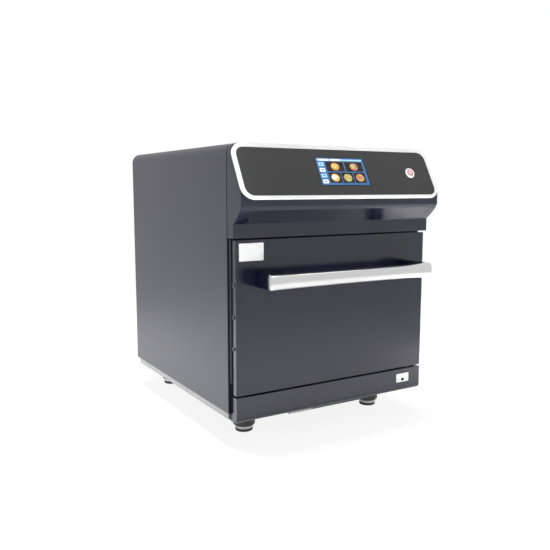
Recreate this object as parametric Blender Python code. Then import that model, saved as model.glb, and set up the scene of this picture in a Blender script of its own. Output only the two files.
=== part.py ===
# Countertop speed oven with a drop-down door, in metres.
# +X is the oven's right as seen by someone facing it, -Y is the front and +Z is up.
# The origin lies on the worktop under the middle of the oven.

import math

import bmesh
import bpy
from mathutils import Matrix, Vector

MM = 0.001

# Gaps
seat_gap = 0.3 * MM
running_gap = 0.4 * MM
cut_overrun = 2 * MM

# Overall body
overall_width = 500 * MM
cover_depth = 540 * MM
cover_edge_radius = 22 * MM
cover_wall = 1.5 * MM
edge_steps = 8
sharp_angle = 35

# Feet
foot_height = 59 * MM
foot_radius = 24.5 * MM
foot_rounding = 5 * MM
foot_rounding_sweep = 60
foot_rounding_steps = 4
foot_side_inset = 78 * MM
foot_front_inset = 79 * MM
foot_rear_inset = 45 * MM
foot_lift = 9 * MM
foot_roof = 10 * MM
shank_radius = 18 * MM
shank_height = 34 * MM
sole_radius = 19.2 * MM
sole_height = 6 * MM
sole_rounding = 1 * MM
foot_segments = 36

# Base chassis
chassis_strip = 13 * MM
chassis_side_inset = 2 * MM
chassis_front_inset = 3 * MM
chassis_rear_inset = 18 * MM
chassis_wall = 1.5 * MM
chassis_side_height = 40 * MM
chassis_vent_margin = 14 * MM

# Front frame and cavity
front_frame_inset = 1 * MM
front_frame_wall = 1.5 * MM
front_frame_head = 18.2 * MM
cavity_width = 320 * MM
cavity_door_margin = 112 * MM
cavity_depth = 402 * MM
cavity_wall = 1.5 * MM
cavity_corner_radius = 6 * MM
runner_height = 34 * MM
runner_width = 9 * MM
runner_wall = 1.5 * MM
runner_drop = 15 * MM
runner_length = 300 * MM
runner_inset = 16 * MM

# Rack
rack_side_gap = 2 * MM
rack_bar = 4 * MM
rack_thickness = 4 * MM
rack_slot_columns = 13
rack_slot_rows = 2
rack_length = 292 * MM

# Rear chamber of the cavity
jet_plate_inset = 344 * MM
jet_plate_wall = 1.5 * MM
jet_radius = 5 * MM
jet_columns = 9
jet_pitch = 32 * MM
jet_edge = 34 * MM
intake_hole_radius = 6 * MM
intake_ring_radii = (0, 16 * MM, 32 * MM)
intake_ring_counts = (1, 6, 11)
hole_segments = 10
catalyst_fan_margin = 25 * MM
catalyst_thickness = 12 * MM
catalyst_cell_share = 0.145
catalyst_pitch_share = 0.364
catalyst_rim = 2 * MM
catalyst_segments = 40
fan_side_gap = 20 * MM
fan_depth = 28 * MM
fan_plate = 2 * MM
fan_gap = 4 * MM
fan_hub_radius = 14 * MM
fan_hub_depth = 12 * MM
fan_blade_length = 28 * MM
fan_blades = 18
fan_blade_thickness = 1.5 * MM
shaft_radius = 5 * MM
shaft_hole_radius = 8 * MM
shaft_end_stand = 2 * MM
shaft_segments = 24
heater_side_gap = 9 * MM
heater_tube_radius = 4 * MM
heater_segments = 48
heater_sides = 10
heater_leg_angle = 12
heater_leg_share = 0.87

# Fan motor
motor_flange_radius = 36 * MM
motor_flange = 3 * MM
motor_radius = 32 * MM
motor_length = 54 * MM
motor_rounding = 4 * MM
motor_bore_depth = 30 * MM

# Insulation
insulation_wall = 20 * MM
insulation_front_inset = 22 * MM
insulation_motor_gap = 4 * MM

# Microwave feed
waveguide_width = 90 * MM
waveguide_depth = 50 * MM
waveguide_height = 52 * MM
waveguide_setback = 150 * MM
waveguide_gap = 4 * MM
magnetron_width = 82 * MM
magnetron_depth = 70 * MM
magnetron_base = 3 * MM
magnetron_fin = 2 * MM
magnetron_fin_pitch = 9 * MM
magnetron_fins = 6
magnetron_core_width = 40 * MM
magnetron_box_height = 32 * MM

# Power supply and control board
transformer_width = 92 * MM
transformer_depth = 70 * MM
transformer_height = 72 * MM
transformer_coil_reach = 12 * MM
transformer_coil_height = 34 * MM
transformer_coil_rounding = 10 * MM
transformer_side_inset = 30 * MM
transformer_rear_gap = 10 * MM
board_width = 160 * MM
board_height = 120 * MM
board_wall = 1.6 * MM
board_standoff = 8 * MM
board_standoff_radius = 4 * MM
board_standoff_inset = 8 * MM
board_side_inset = 80 * MM
board_head_drop = 210 * MM
board_chip_width = 34 * MM
board_chip_height = 22 * MM
board_chip_depth = 12 * MM
board_chip_pitch = 44 * MM

# Cooling fan
cooler_size = 120 * MM
cooler_depth = 38 * MM
cooler_duct_radius = 57 * MM
cooler_side_inset = 40 * MM
cooler_hub_radius = 21 * MM
cooler_hub_depth = 26 * MM
cooler_blade_radius = 54 * MM
cooler_blade_thickness = 1.6 * MM
cooler_blade_chord = 24 * MM
cooler_blade_root = 3 * MM
cooler_blade_angle = 38
cooler_blades = 7
cooler_pin_radius = 3 * MM
cooler_strut_width = 5 * MM
cooler_strut_depth = 3 * MM
cooler_segments = 40

# Rear panel and mains inlet
rear_panel_wall = 1.5 * MM
vent_length = 52 * MM
vent_height = 5 * MM
vent_pitch = 11 * MM
vent_rows = 8
vent_side_inset = 85 * MM
upper_vent_drop = 155 * MM
lower_vent_base = 22 * MM
inlet_side_inset = 60 * MM
inlet_height = 150 * MM
inlet_thread_radius = 11 * MM
inlet_bore_radius = 5 * MM
inlet_flange_radius = 16 * MM
inlet_flange = 4 * MM
inlet_cap_radius = 12 * MM
inlet_reach = 24 * MM
inlet_thread_depth = 10 * MM
inlet_segments = 24

# Control housing, as a side profile that leans back over the door
housing_wall = 3 * MM
door_head_gap = 3.8 * MM
band_height = 24.2 * MM
band_reach = 27.4 * MM
undercut_height = 45 * MM
nose_height = 17.3 * MM
nose_reach = 59.5 * MM
slope_rise = 96.7 * MM
slope_top_reach = 7 * MM
undercut_pull_reach_share = 0.79
undercut_pull_height_share = 0.464
scoop_depth = 11 * MM
scoop_corner = 28 * MM
scoop_height_share = 0.78
scoop_edge_share = 0.04
scoop_steps = 11
lip_steps = 4
scoop_end_steps = 8

# Bezel frame and glass on the sloped panel
bezel_side_inset = 2.5 * MM
bezel_overhang = 13.5 * MM
bezel_top_inset = 1.5 * MM
bezel_thickness = 4.6 * MM
bezel_rounding = 1.2 * MM
bezel_side_width = 6.5 * MM
bezel_bottom_width = 6.5 * MM
bezel_top_width = 9 * MM
bezel_corner_radius = 27 * MM
bezel_inner_radius = 19 * MM
bezel_corner_steps = 10
glass_inset = 0.6 * MM

# Touch screen and power button, in the plane of the sloped panel
screen_width = 124 * MM
screen_height = 66 * MM
screen_base = 15 * MM
screen_depth = 14 * MM
button_side_inset = 67.4 * MM
button_rise = 46.4 * MM
ring_radius = 13 * MM
ring_inner_radius = 9.2 * MM
ring_barrel_radius = 11 * MM
ring_stand = 1.4 * MM
ring_rounding = 0.6 * MM
ring_depth = 18 * MM
button_radius = 8.8 * MM
button_stand = 1.2 * MM
button_length = 15 * MM
button_dish = 0.5 * MM
button_rim_share = 0.8
button_segments = 40

# Door
door_side_inset = 6.2 * MM
door_reach = 24.1 * MM
door_depth = 12.9 * MM
door_base = 41 * MM
door_height = 312 * MM
door_wall = 1.5 * MM
door_edge_radius = 1 * MM
hinge_set_in = 8 * MM
hinge_rise = 12 * MM
inner_panel_rise = 20 * MM
inner_panel_wall = 1.5 * MM
inner_panel_reach = 7 * MM
inner_panel_side_inset = 32 * MM
inner_panel_head_inset = 12 * MM
inner_panel_pan_rise = 6 * MM
inner_panel_taper = 5 * MM
gasket_width = 10 * MM
gasket_margin = 9 * MM
gasket_corner_radius = 16 * MM
side_screw_pitch = 64.2 * MM
side_screw_rise = 3.6 * MM
side_screw_head_radius = 3 * MM
side_screw_head = 1.4 * MM
side_screw_radius = 1.8 * MM
side_screw_dome_share = 0.6
side_screw_length = 7 * MM
side_screw_set_in = 8.9 * MM
screw_segments = 16

# Hinges
hinge_side_inset = 21 * MM
hinge_plate = 3 * MM
hinge_eye_radius = 6 * MM
hinge_pin_radius = 3 * MM
hinge_pin_head_radius = 4.5 * MM
hinge_pin_head = 1 * MM
hinge_flange_width = 16 * MM
hinge_flange_height = 40 * MM
hinge_flange_wall = 2.2 * MM
hinge_arm_height = 84 * MM
hinge_arm_front_gap = 1 * MM
hinge_slot_gap = 1.6 * MM
hinge_segments = 20

# Door handle
handle_end_inset = 40.8 * MM
handle_height = 24.6 * MM
handle_end_height = 28 * MM
handle_flare_length = 60 * MM
handle_depth = 21 * MM
handle_reach = 99 * MM
handle_drop = 78 * MM
handle_segments = 28
handle_flare_steps = 6
bracket_width = 30 * MM
bracket_height = 33 * MM
bracket_end_inset = 3 * MM
bracket_front_cover = 3.5 * MM
bracket_rounding = 3 * MM
handle_screw_radius = 2.5 * MM
handle_screw_head_radius = 5 * MM
handle_screw_head = 3 * MM
handle_screw_length = 22 * MM

# Badge plate, bare
badge_width = 54.6 * MM
badge_height = 35 * MM
badge_wall = 1.2 * MM
badge_side_inset = 7.5 * MM
badge_head_inset = 6.3 * MM
badge_corner_radius = 1 * MM

# Lower front panel with its port plate
lower_panel_drop = 16 * MM
lower_panel_gap = 4.2 * MM
lower_panel_depth = 16.3 * MM
lower_panel_wall = 1.5 * MM
lower_panel_fold_radius = 10 * MM
port_plate_width = 36.7 * MM
port_plate_height = 20 * MM
port_plate_wall = 1.2 * MM
port_plate_side_inset = 59.2 * MM
port_plate_rise = 6.2 * MM
port_plate_corner_radius = 1 * MM
port_plug_radius = 3.4 * MM
port_plug_rise = 6 * MM
port_plug_stand = 0.8 * MM
port_plug_dome_share = 0.7

# Air filter and its rails
filter_width = 222 * MM
filter_length = 190 * MM
filter_thickness = 5 * MM
filter_bar = 5 * MM
filter_columns = 10
filter_rows = 9
filter_tab_width = 57 * MM
filter_tab_base_inset = 1.2 * MM
filter_tab_top_inset = 0.8 * MM
filter_tab_wall = 1.6 * MM
filter_front_inset = 12.7 * MM
filter_rail_width = 5 * MM
filter_rail_lip = 3 * MM
filter_rail_wall = 1.2 * MM

# Places that several pieces share
half_width = overall_width / 2
rear_reach = cover_depth - chassis_rear_inset + seat_gap + rear_panel_wall + seat_gap + inlet_reach
front_y = -(rear_reach + handle_reach) / 2 + handle_reach
cover_base = foot_height + chassis_strip
band_base = door_base + door_height + door_head_gap
nose_base = band_base + band_height + undercut_height
nose_top = nose_base + nose_height
cover_height = nose_top + slope_rise
cover_top = cover_base + cover_height
rear_y = front_y + cover_depth
chassis_rear_y = rear_y - chassis_rear_inset
chassis_front_y = front_y + chassis_front_inset
chassis_half_width = half_width - chassis_side_inset
chassis_floor_top = foot_height + chassis_wall
frame_half_width = half_width - cover_wall - seat_gap
frame_front_y = front_y + front_frame_inset
frame_rear_y = frame_front_y + front_frame_wall
door_front_y = front_y - door_reach
door_rear_y = door_front_y + door_depth
door_z = cover_base + door_base
door_top_z = door_z + door_height
door_half_width = half_width - door_side_inset
door_middle_z = door_z + door_height / 2
cavity_height = door_height - cavity_door_margin
cavity_base = door_middle_z - cavity_height / 2
fan_radius = cavity_height / 2 - fan_side_gap
fan_eye_radius = fan_radius - fan_blade_length
catalyst_radius = fan_radius - catalyst_fan_margin
heater_radius = cavity_height / 2 - heater_side_gap
jet_row_height = cavity_height / 2 - jet_edge
cavity_top = cavity_base + cavity_height
cavity_front_y = frame_rear_y + seat_gap
cavity_rear_y = cavity_front_y + cavity_depth
cavity_inner_rear_y = cavity_rear_y - cavity_wall
hinge_y = door_front_y + hinge_set_in
hinge_z = door_z + hinge_rise
rear_panel_y = chassis_rear_y + seat_gap
handle_z = door_top_z - handle_drop
handle_length = 2 * (door_half_width - handle_end_inset)
inlet_x = -(half_width - inlet_side_inset)
port_plate_x = half_width - port_plate_side_inset
lower_panel_base = cover_base - lower_panel_drop
filter_top = lower_panel_base - running_gap
filter_base = filter_top - filter_thickness
board_x = half_width - board_side_inset - board_width / 2
lean = math.atan2(nose_reach - slope_top_reach, cover_height - nose_top)
slope_length = math.hypot(nose_reach - slope_top_reach, cover_height - nose_top)
fan_centre = Vector((0, 0, cavity_base + cavity_height / 2))


def clear_scene():
    for thing in list(bpy.data.objects):
        bpy.data.objects.remove(thing, do_unlink=True)


def finish(name, colour, roughness, metallic):
    material = bpy.data.materials.new(name)
    material.use_nodes = True
    shader = material.node_tree.nodes["Principled BSDF"]
    shader.inputs["Base Color"].default_value = (*colour, 1)
    shader.inputs["Roughness"].default_value = roughness
    shader.inputs["Metallic"].default_value = metallic
    material.diffuse_color = (*colour, 1)
    return material


# Shapes are pairs of points and faces

def joined(*shapes):
    points = []
    faces = []
    for shape_points, shape_faces in shapes:
        start = len(points)
        points.extend(shape_points)
        faces.extend([tuple(start + index for index in face) for face in shape_faces])
    return points, faces


def placed(shape, matrix):
    return [matrix @ Vector(point) for point in shape[0]], shape[1]


def box(low, high):
    outline = [(low[0], low[1]), (high[0], low[1]), (high[0], high[1]), (low[0], high[1])]
    return prism(outline, low[2], high[2], "Z")


def prism(outline, start, end, axis):
    """Extrudes an outline along X, Y or Z; its points hold the other two coordinates in order."""
    count = len(outline)
    points = []
    for along in (start, end):
        for first, second in outline:
            if axis == "X":
                points.append((along, first, second))
            elif axis == "Y":
                points.append((first, along, second))
            else:
                points.append((first, second, along))
    faces = [tuple(range(count)), tuple(range(count, 2 * count))]
    for index in range(count):
        following = (index + 1) % count
        faces.append((index, following, count + following, count + index))
    return points, faces


def loft(rings, closed=False):
    """Joins rings of points in a row; an open row gets a cap at each end."""
    count = len(rings[0])
    points = [point for ring in rings for point in ring]
    faces = []
    pairs = len(rings) if closed else len(rings) - 1
    for ring in range(pairs):
        low = ring * count
        high = ((ring + 1) % len(rings)) * count
        for index in range(count):
            following = (index + 1) % count
            faces.append((low + index, low + following, high + following, high + index))
    if not closed:
        faces.append(tuple(range(count)))
        faces.append(tuple(range(len(points) - count, len(points))))
    return points, faces


def turned(profile, segments, matrix, ring_shaped=False):
    """Turns (radius, height) points about the local Z axis; a radius of zero is a pole."""
    points = []
    rows = []
    for radius, height in profile:
        if radius == 0:
            rows.append([len(points)] * segments)
            points.append((0, 0, height))
        else:
            rows.append(list(range(len(points), len(points) + segments)))
            for step in range(segments):
                angle = 2 * math.pi * step / segments
                points.append((radius * math.cos(angle), radius * math.sin(angle), height))
    pairs = list(zip(rows, rows[1:]))
    if ring_shaped:
        pairs.append((rows[-1], rows[0]))
    faces = []
    for low, high in pairs:
        for step in range(segments):
            following = (step + 1) % segments
            corners = [low[step], low[following], high[following], high[step]]
            faces.append(tuple(dict.fromkeys(corners)))
    faces = [face for face in faces if len(face) > 2]
    return placed((points, faces), matrix)


def arc(centre, radius, start, end, steps):
    points = []
    for step in range(steps + 1):
        angle = math.radians(start + (end - start) * step / steps)
        points.append((centre[0] + radius * math.cos(angle), centre[1] + radius * math.sin(angle)))
    return points


def rounded_outline(low, high, lower_radius, upper_radius, steps):
    """A rectangle whose lower and upper corners have their own radii, run anticlockwise."""
    corners = (
        (high[0] - lower_radius, low[1] + lower_radius, lower_radius, -90),
        (high[0] - upper_radius, high[1] - upper_radius, upper_radius, 0),
        (low[0] + upper_radius, high[1] - upper_radius, upper_radius, 90),
        (low[0] + lower_radius, low[1] + lower_radius, lower_radius, 180),
    )
    outline = []
    for across, up, radius, start in corners:
        if radius == 0:
            outline.append((across, up))
        else:
            outline.extend(arc((across, up), radius, start, start + 90, steps))
    return outline


def grid_plate(columns, rows, holes, start, end):
    """A plate between two heights, made of cells; holes lists the open (column, row) cells."""
    wide = len(columns)
    points = [(x, y, z) for z in (start, end) for y in rows for x in columns]
    layer = wide * len(rows)
    solid = {
        (column, row)
        for column in range(wide - 1)
        for row in range(len(rows) - 1)
        if (column, row) not in holes
    }
    faces = []
    for column, row in sorted(solid):
        corners = [row * wide + column, row * wide + column + 1,
                   (row + 1) * wide + column + 1, (row + 1) * wide + column]
        faces.append(tuple(corners))
        faces.append(tuple(layer + corner for corner in reversed(corners)))
        sides = (((0, -1), 0, 1), ((1, 0), 1, 2), ((0, 1), 2, 3), ((-1, 0), 3, 0))
        for (across, up), first, second in sides:
            if (column + across, row + up) not in solid:
                near, far = corners[first], corners[second]
                faces.append((near, far, layer + far, layer + near))
    used = sorted({index for face in faces for index in face})
    renumbered = {old: new for new, old in enumerate(used)}
    return ([points[index] for index in used],
            [tuple(renumbered[index] for index in face) for face in faces])


def breaks(start, end, openings, bar):
    """Places of the bars' edges for a number of equal openings between bars."""
    opening = (end - start - bar * (openings + 1)) / openings
    places = []
    for index in range(openings + 1):
        place = start + index * (opening + bar)
        places.extend((place, place + bar))
    return places


def moved_to(x, y, z):
    return Matrix.Translation((x, y, z))


def facing_back(x, y, z):
    """The local Z axis turned to run towards the back."""
    return moved_to(x, y, z) @ Matrix.Rotation(math.radians(-90), 4, "X")


def facing_right(x, y, z):
    """The local Z axis turned to run towards +X."""
    return moved_to(x, y, z) @ Matrix.Rotation(math.radians(90), 4, "Y")


def panel_matrix():
    """Local X runs across the sloped panel, local Y up its slope and local Z out of it."""
    turn = Matrix.Rotation(math.radians(90) - lean, 4, "X")
    return moved_to(0, front_y - nose_reach, cover_base + nose_top) @ turn


def mesh_from(name, shape):
    mesh = bpy.data.meshes.new(name)
    mesh.from_pydata([tuple(point) for point in shape[0]], [], shape[1])
    work = bmesh.new()
    work.from_mesh(mesh)
    bmesh.ops.recalc_face_normals(work, faces=work.faces)
    work.to_mesh(mesh)
    work.free()
    return mesh


def make(name, shape, material, cuts=(), adds=(), keeps=()):
    """Makes one named piece; adds are joined to it, keeps bound it and cuts are taken out."""
    piece = bpy.data.objects.new(name, mesh_from(name, shape))
    bpy.context.scene.collection.objects.link(piece)
    steps = [("UNION", add) for add in adds]
    steps += [("INTERSECT", keep) for keep in keeps]
    steps += [("DIFFERENCE", cut) for cut in cuts]
    for operation, other in steps:
        apply_boolean(piece, operation, other)
    piece.data.name = name
    piece.data.materials.clear()
    piece.data.materials.append(material)
    piece.data.shade_smooth()
    piece.data.set_sharp_from_angle(angle=math.radians(sharp_angle))
    return piece


def apply_boolean(piece, operation, shape):
    cutter = bpy.data.objects.new("cutter", mesh_from("cutter", shape))
    cutter.hide_render = True
    cutter.display_type = "WIRE"
    bpy.context.scene.collection.objects.link(cutter)
    modifier = piece.modifiers.new("boolean", "BOOLEAN")
    modifier.operation = operation
    modifier.solver = "EXACT"
    modifier.object = cutter
    depsgraph = bpy.context.evaluated_depsgraph_get()
    result = bpy.data.meshes.new_from_object(piece.evaluated_get(depsgraph))
    piece.modifiers.clear()
    before = piece.data
    piece.data = result
    bpy.data.meshes.remove(before)
    bpy.data.objects.remove(cutter, do_unlink=True)


def carry(name, place, pieces):
    """Parents moving pieces to an empty that stands on their joint's axis."""
    axis = bpy.data.objects.new(name, None)
    axis.location = place
    bpy.context.scene.collection.objects.link(axis)
    for piece in pieces:
        piece.parent = axis
        piece.matrix_parent_inverse = Matrix.Translation(place).inverted()


# Cover, chassis and rear

def cover_outline(inset, base):
    """The upside-down U that the cover's sheet follows, from its left foot to its right foot."""
    radius = cover_edge_radius - inset
    across = half_width - cover_edge_radius
    up = cover_top - cover_edge_radius
    outline = [(-half_width + inset, base)]
    outline += arc((-across, up), radius, 180, 90, edge_steps)
    outline += arc((across, up), radius, 90, 0, edge_steps)
    outline.append((half_width - inset, base))
    return outline


def outer_cover(material):
    outline = cover_outline(0, cover_base) + list(reversed(cover_outline(cover_wall, cover_base)))
    return make("outer_cover", prism(outline, front_y, rear_y, "Y"), material)


def filter_window():
    """The vent in the chassis floor over the air filter."""
    side = filter_width / 2 - chassis_vent_margin
    low_y = chassis_front_y + chassis_vent_margin
    high_y = front_y - filter_front_inset + filter_length - chassis_vent_margin
    low = (-side, low_y, foot_height - cut_overrun)
    high = (side, high_y, chassis_floor_top + cut_overrun)
    return box(low, high)


def filter_rail(side):
    """An angle under the chassis floor that carries one edge of the air filter."""
    edge = side * (filter_width / 2 + running_gap)
    lip = edge - side * filter_rail_lip
    outer = edge + side * filter_rail_width
    rest = filter_base - running_gap
    low = rest - filter_rail_wall
    outline = [
        (edge, foot_height + chassis_wall / 2),
        (edge, rest),
        (lip, rest),
        (lip, low),
        (outer, low),
        (outer, foot_height + chassis_wall / 2),
    ]
    end = front_y - filter_front_inset + filter_length + filter_rail_width
    return prism(outline, chassis_front_y + filter_rail_width, end, "Y")


def base_chassis(material):
    low = (-chassis_half_width, chassis_front_y, foot_height)
    high = (chassis_half_width, chassis_rear_y, foot_height + chassis_side_height)
    inside_low = (low[0] + chassis_wall, low[1] + chassis_wall, chassis_floor_top)
    inside_high = (high[0] - chassis_wall, high[1] - chassis_wall, high[2] + cut_overrun)
    return make("base_chassis", box(low, high), material,
                adds=[filter_rail(-1), filter_rail(1)],
                cuts=[box(inside_low, inside_high), filter_window()])


def vent_slots(base):
    """One block of horizontal slots for each column of the rear panel."""
    slots = []
    for offset in (vent_side_inset - half_width, 0, half_width - vent_side_inset):
        for row in range(vent_rows):
            low_z = cover_base + base + row * vent_pitch
            low = (offset - vent_length / 2, rear_panel_y - cut_overrun, low_z)
            high_y = rear_panel_y + rear_panel_wall + cut_overrun
            high = (offset + vent_length / 2, high_y, low_z + vent_height)
            slots.append(box(low, high))
    return joined(*slots)


def inlet_hole():
    place = facing_back(inlet_x, rear_panel_y - cut_overrun, cover_base + inlet_height)
    radius = inlet_thread_radius + seat_gap
    length = rear_panel_wall + 2 * cut_overrun
    return turned([(0, 0), (radius, 0), (radius, length), (0, length)], inlet_segments, place)


def rear_panel(material):
    inset = cover_wall + seat_gap
    outline = cover_outline(inset, foot_height + seat_gap)
    shape = prism(outline, rear_panel_y, rear_panel_y + rear_panel_wall, "Y")
    return make("rear_panel", shape, material,
                cuts=[vent_slots(cover_height - upper_vent_drop), vent_slots(lower_vent_base),
                      inlet_hole()])


def inlet_gland(material):
    """The mains inlet: a screwed bush with a flange outside the rear panel."""
    outside = rear_panel_wall + seat_gap
    profile = [
        (inlet_bore_radius, -inlet_thread_depth),
        (inlet_thread_radius, -inlet_thread_depth),
        (inlet_thread_radius, outside),
        (inlet_flange_radius, outside),
        (inlet_flange_radius, outside + inlet_flange),
        (inlet_cap_radius, outside + inlet_flange),
        (inlet_bore_radius + (inlet_cap_radius - inlet_bore_radius) / 2, outside + inlet_reach),
        (inlet_bore_radius, outside + inlet_reach),
    ]
    place = facing_back(inlet_x, rear_panel_y, cover_base + inlet_height)
    return make("inlet_gland", turned(profile, inlet_segments, place, True), material)


# Feet

def foot_places():
    across = half_width - foot_side_inset
    near = front_y + foot_front_inset
    far = rear_y - foot_rear_inset
    return {
        "front_left": (-across, near),
        "front_right": (across, near),
        "rear_left": (-across, far),
        "rear_right": (across, far),
    }


def foot_body(name, x, y, material):
    """The fixed upper part, a deep cup that the levelling shank screws into."""
    top = foot_height - seat_gap
    bore = shank_radius + running_gap
    profile = [(0, top), (foot_radius, top)]
    rounding = arc((foot_radius - foot_rounding, foot_lift + foot_rounding), foot_rounding,
                   0, -foot_rounding_sweep, foot_rounding_steps)
    profile += rounding
    profile += [(bore, rounding[-1][1]), (bore, top - foot_roof), (0, top - foot_roof)]
    return make(name, turned(profile, foot_segments, moved_to(x, y, 0)), material)


def foot_adjuster(name, x, y, material):
    """The levelling shank with its sole."""
    profile = [(0, 0), (sole_radius - sole_rounding, 0)]
    profile += [(sole_radius, sole_rounding), (sole_radius, sole_height - sole_rounding / 2)]
    profile += [(sole_radius - sole_rounding / 2, sole_height), (shank_radius, sole_height)]
    profile += [(shank_radius, shank_height), (0, shank_height)]
    return make(name, turned(profile, foot_segments, moved_to(x, y, 0)), material)


# Front frame, cavity and what works inside

def mouth_outline(grow):
    """The cavity's cross-section, with its walls grown outwards."""
    half = cavity_width / 2 + grow
    radius = cavity_corner_radius + grow
    low = (-half, cavity_base - grow)
    high = (half, cavity_top + grow)
    return rounded_outline(low, high, radius, radius, edge_steps // 2)


def front_frame(material):
    low = (-frame_half_width, frame_front_y, cover_base + seat_gap)
    high = (frame_half_width, frame_rear_y, cover_base + band_base + front_frame_head)
    mouth = prism(mouth_outline(0), low[1] - cut_overrun, high[1] + cut_overrun, "Y")
    return make("front_frame", box(low, high), material, cuts=[mouth])


def rack_runner(name, side, material):
    """An angle on the cavity's side wall; the rack rests on its upper leg."""
    wall = side * (cavity_width / 2 - seat_gap)
    edge = side * (cavity_width / 2 - runner_width)
    inner = wall - side * runner_wall
    top = cavity_base + runner_height
    outline = [(wall, top), (edge, top), (edge, top - runner_wall), (inner, top - runner_wall),
               (inner, top - runner_drop), (wall, top - runner_drop)]
    near = cavity_front_y + runner_inset
    return make(name, prism(outline, near, near + runner_length, "Y"), material)


def cavity(material):
    shell = prism(mouth_outline(cavity_wall), cavity_front_y, cavity_rear_y, "Y")
    inside = prism(mouth_outline(0), cavity_front_y - cut_overrun, cavity_inner_rear_y, "Y")
    start = facing_back(0, cavity_inner_rear_y - cut_overrun, fan_centre.z)
    length = cavity_wall + 2 * cut_overrun
    hole = [(0, 0), (shaft_hole_radius, 0), (shaft_hole_radius, length), (0, length)]
    bore = turned(hole, shaft_segments, start)
    feed_half = waveguide_width / 2 - cavity_wall
    feed_low = (-feed_half, feed_y() + cavity_wall, cavity_top - cut_overrun)
    feed_high_y = feed_y() + waveguide_depth - cavity_wall
    feed = box(feed_low, (feed_half, feed_high_y, cavity_top + cavity_wall + cut_overrun))
    return make("cavity", shell, material, cuts=[inside, bore, feed])


def feed_y():
    return cavity_front_y + waveguide_setback


def rack(material):
    half = cavity_width / 2 - rack_side_gap
    near = cavity_front_y + runner_inset + rack_bar
    columns = breaks(-half, half, rack_slot_columns, rack_bar)
    rows = breaks(near, near + rack_length, rack_slot_rows, rack_bar)
    holes = {(2 * column + 1, 2 * row + 1)
             for column in range(rack_slot_columns) for row in range(rack_slot_rows)}
    base = cavity_base + runner_height + seat_gap
    return make("rack", grid_plate(columns, rows, holes, base, base + rack_thickness), material)


def ring_holes(radii, counts, radius, start, length):
    """Round holes on rings about the fan's axis."""
    holes = []
    for ring_radius_now, count in zip(radii, counts):
        for step in range(count):
            angle = 2 * math.pi * step / count
            x = ring_radius_now * math.cos(angle)
            z = fan_centre.z + ring_radius_now * math.sin(angle)
            profile = [(0, 0), (radius, 0), (radius, length), (0, length)]
            holes.append(turned(profile, hole_segments, facing_back(x, start, z)))
    return joined(*holes)


def jet_plate_y():
    return cavity_front_y + jet_plate_inset


def jet_plate(material):
    near = jet_plate_y()
    far = near + jet_plate_wall
    start = near - cut_overrun
    length = jet_plate_wall + 2 * cut_overrun
    jets = []
    for row in (-1, 1):
        for column in range(jet_columns):
            x = (column - (jet_columns - 1) / 2) * jet_pitch
            z = fan_centre.z + row * jet_row_height
            profile = [(0, 0), (jet_radius, 0), (jet_radius, length), (0, length)]
            jets.append(turned(profile, hole_segments, facing_back(x, start, z)))
    intake = ring_holes(intake_ring_radii, intake_ring_counts, intake_hole_radius, start, length)
    return make("jet_plate", prism(mouth_outline(-seat_gap), near, far, "Y"), material,
                cuts=[joined(*jets), intake])


def catalyst_y():
    return jet_plate_y() + jet_plate_wall + seat_gap


def catalyst(material):
    start = catalyst_y()
    profile = [(0, 0), (catalyst_radius, 0), (catalyst_radius, catalyst_thickness),
               (0, catalyst_thickness)]
    disc = turned(profile, catalyst_segments, facing_back(0, start, fan_centre.z))
    cells = []
    reach = range(-2, 3)
    length = catalyst_thickness + 2 * cut_overrun
    radius = catalyst_radius * catalyst_cell_share
    pitch = catalyst_radius * catalyst_pitch_share
    for row in reach:
        for column in reach:
            x = (column + row / 2) * pitch
            z = row * pitch * math.sqrt(3) / 2
            if math.hypot(x, z) + radius + catalyst_rim < catalyst_radius:
                hexagon = [(0, 0), (radius, 0), (radius, length), (0, length)]
                place = facing_back(x, start - cut_overrun, fan_centre.z + z)
                cells.append(turned(hexagon, 6, place))
    return make("catalyst", disc, material, cuts=[joined(*cells)])


def fan_y():
    """Front edge of the convection fan's blades."""
    return cavity_inner_rear_y - fan_gap - fan_depth


def convection_fan(material):
    """A radial wheel: blades stand on a back plate round an open eye."""
    back = fan_depth - fan_plate
    bore = shaft_radius + seat_gap
    hub = fan_depth - fan_hub_depth
    profile = [(bore, hub), (fan_hub_radius, hub), (fan_hub_radius, back), (fan_radius, back),
               (fan_radius, fan_depth), (bore, fan_depth)]
    place = facing_back(0, fan_y(), fan_centre.z)
    wheel = turned(profile, catalyst_segments, place, True)
    blades = []
    for step in range(fan_blades):
        turn = Matrix.Rotation(2 * math.pi * step / fan_blades, 4, "Z")
        half = fan_blade_thickness / 2
        low = (fan_eye_radius, -half, 0)
        high = (fan_radius - fan_blade_thickness, half, back + fan_plate / 2)
        blades.append(placed(box(low, high), place @ turn))
    return make("convection_fan", wheel, material, adds=[joined(*blades)])


def motor_y():
    return cavity_rear_y + seat_gap


def fan_shaft(material):
    """The shaft runs from the fan's hub back into the motor."""
    start = fan_y() + fan_depth - fan_hub_depth - shaft_end_stand
    end = motor_y() + motor_bore_depth - seat_gap
    place = facing_back(0, start, fan_centre.z)
    length = end - start
    profile = [(0, 0), (shaft_radius, 0), (shaft_radius, length), (0, length)]
    return make("fan_shaft", turned(profile, shaft_segments, place), material)


def fan_motor(material):
    bore = shaft_radius + running_gap
    body = motor_flange + motor_length
    profile = [
        (0, motor_bore_depth),
        (bore, motor_bore_depth),
        (bore, 0),
        (motor_flange_radius, 0),
        (motor_flange_radius, motor_flange),
        (motor_radius, motor_flange),
        (motor_radius, body - motor_rounding),
        (motor_radius - motor_rounding, body),
        (0, body),
    ]
    place = facing_back(0, motor_y(), fan_centre.z)
    return make("fan_motor", turned(profile, shaft_segments, place), material)


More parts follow.
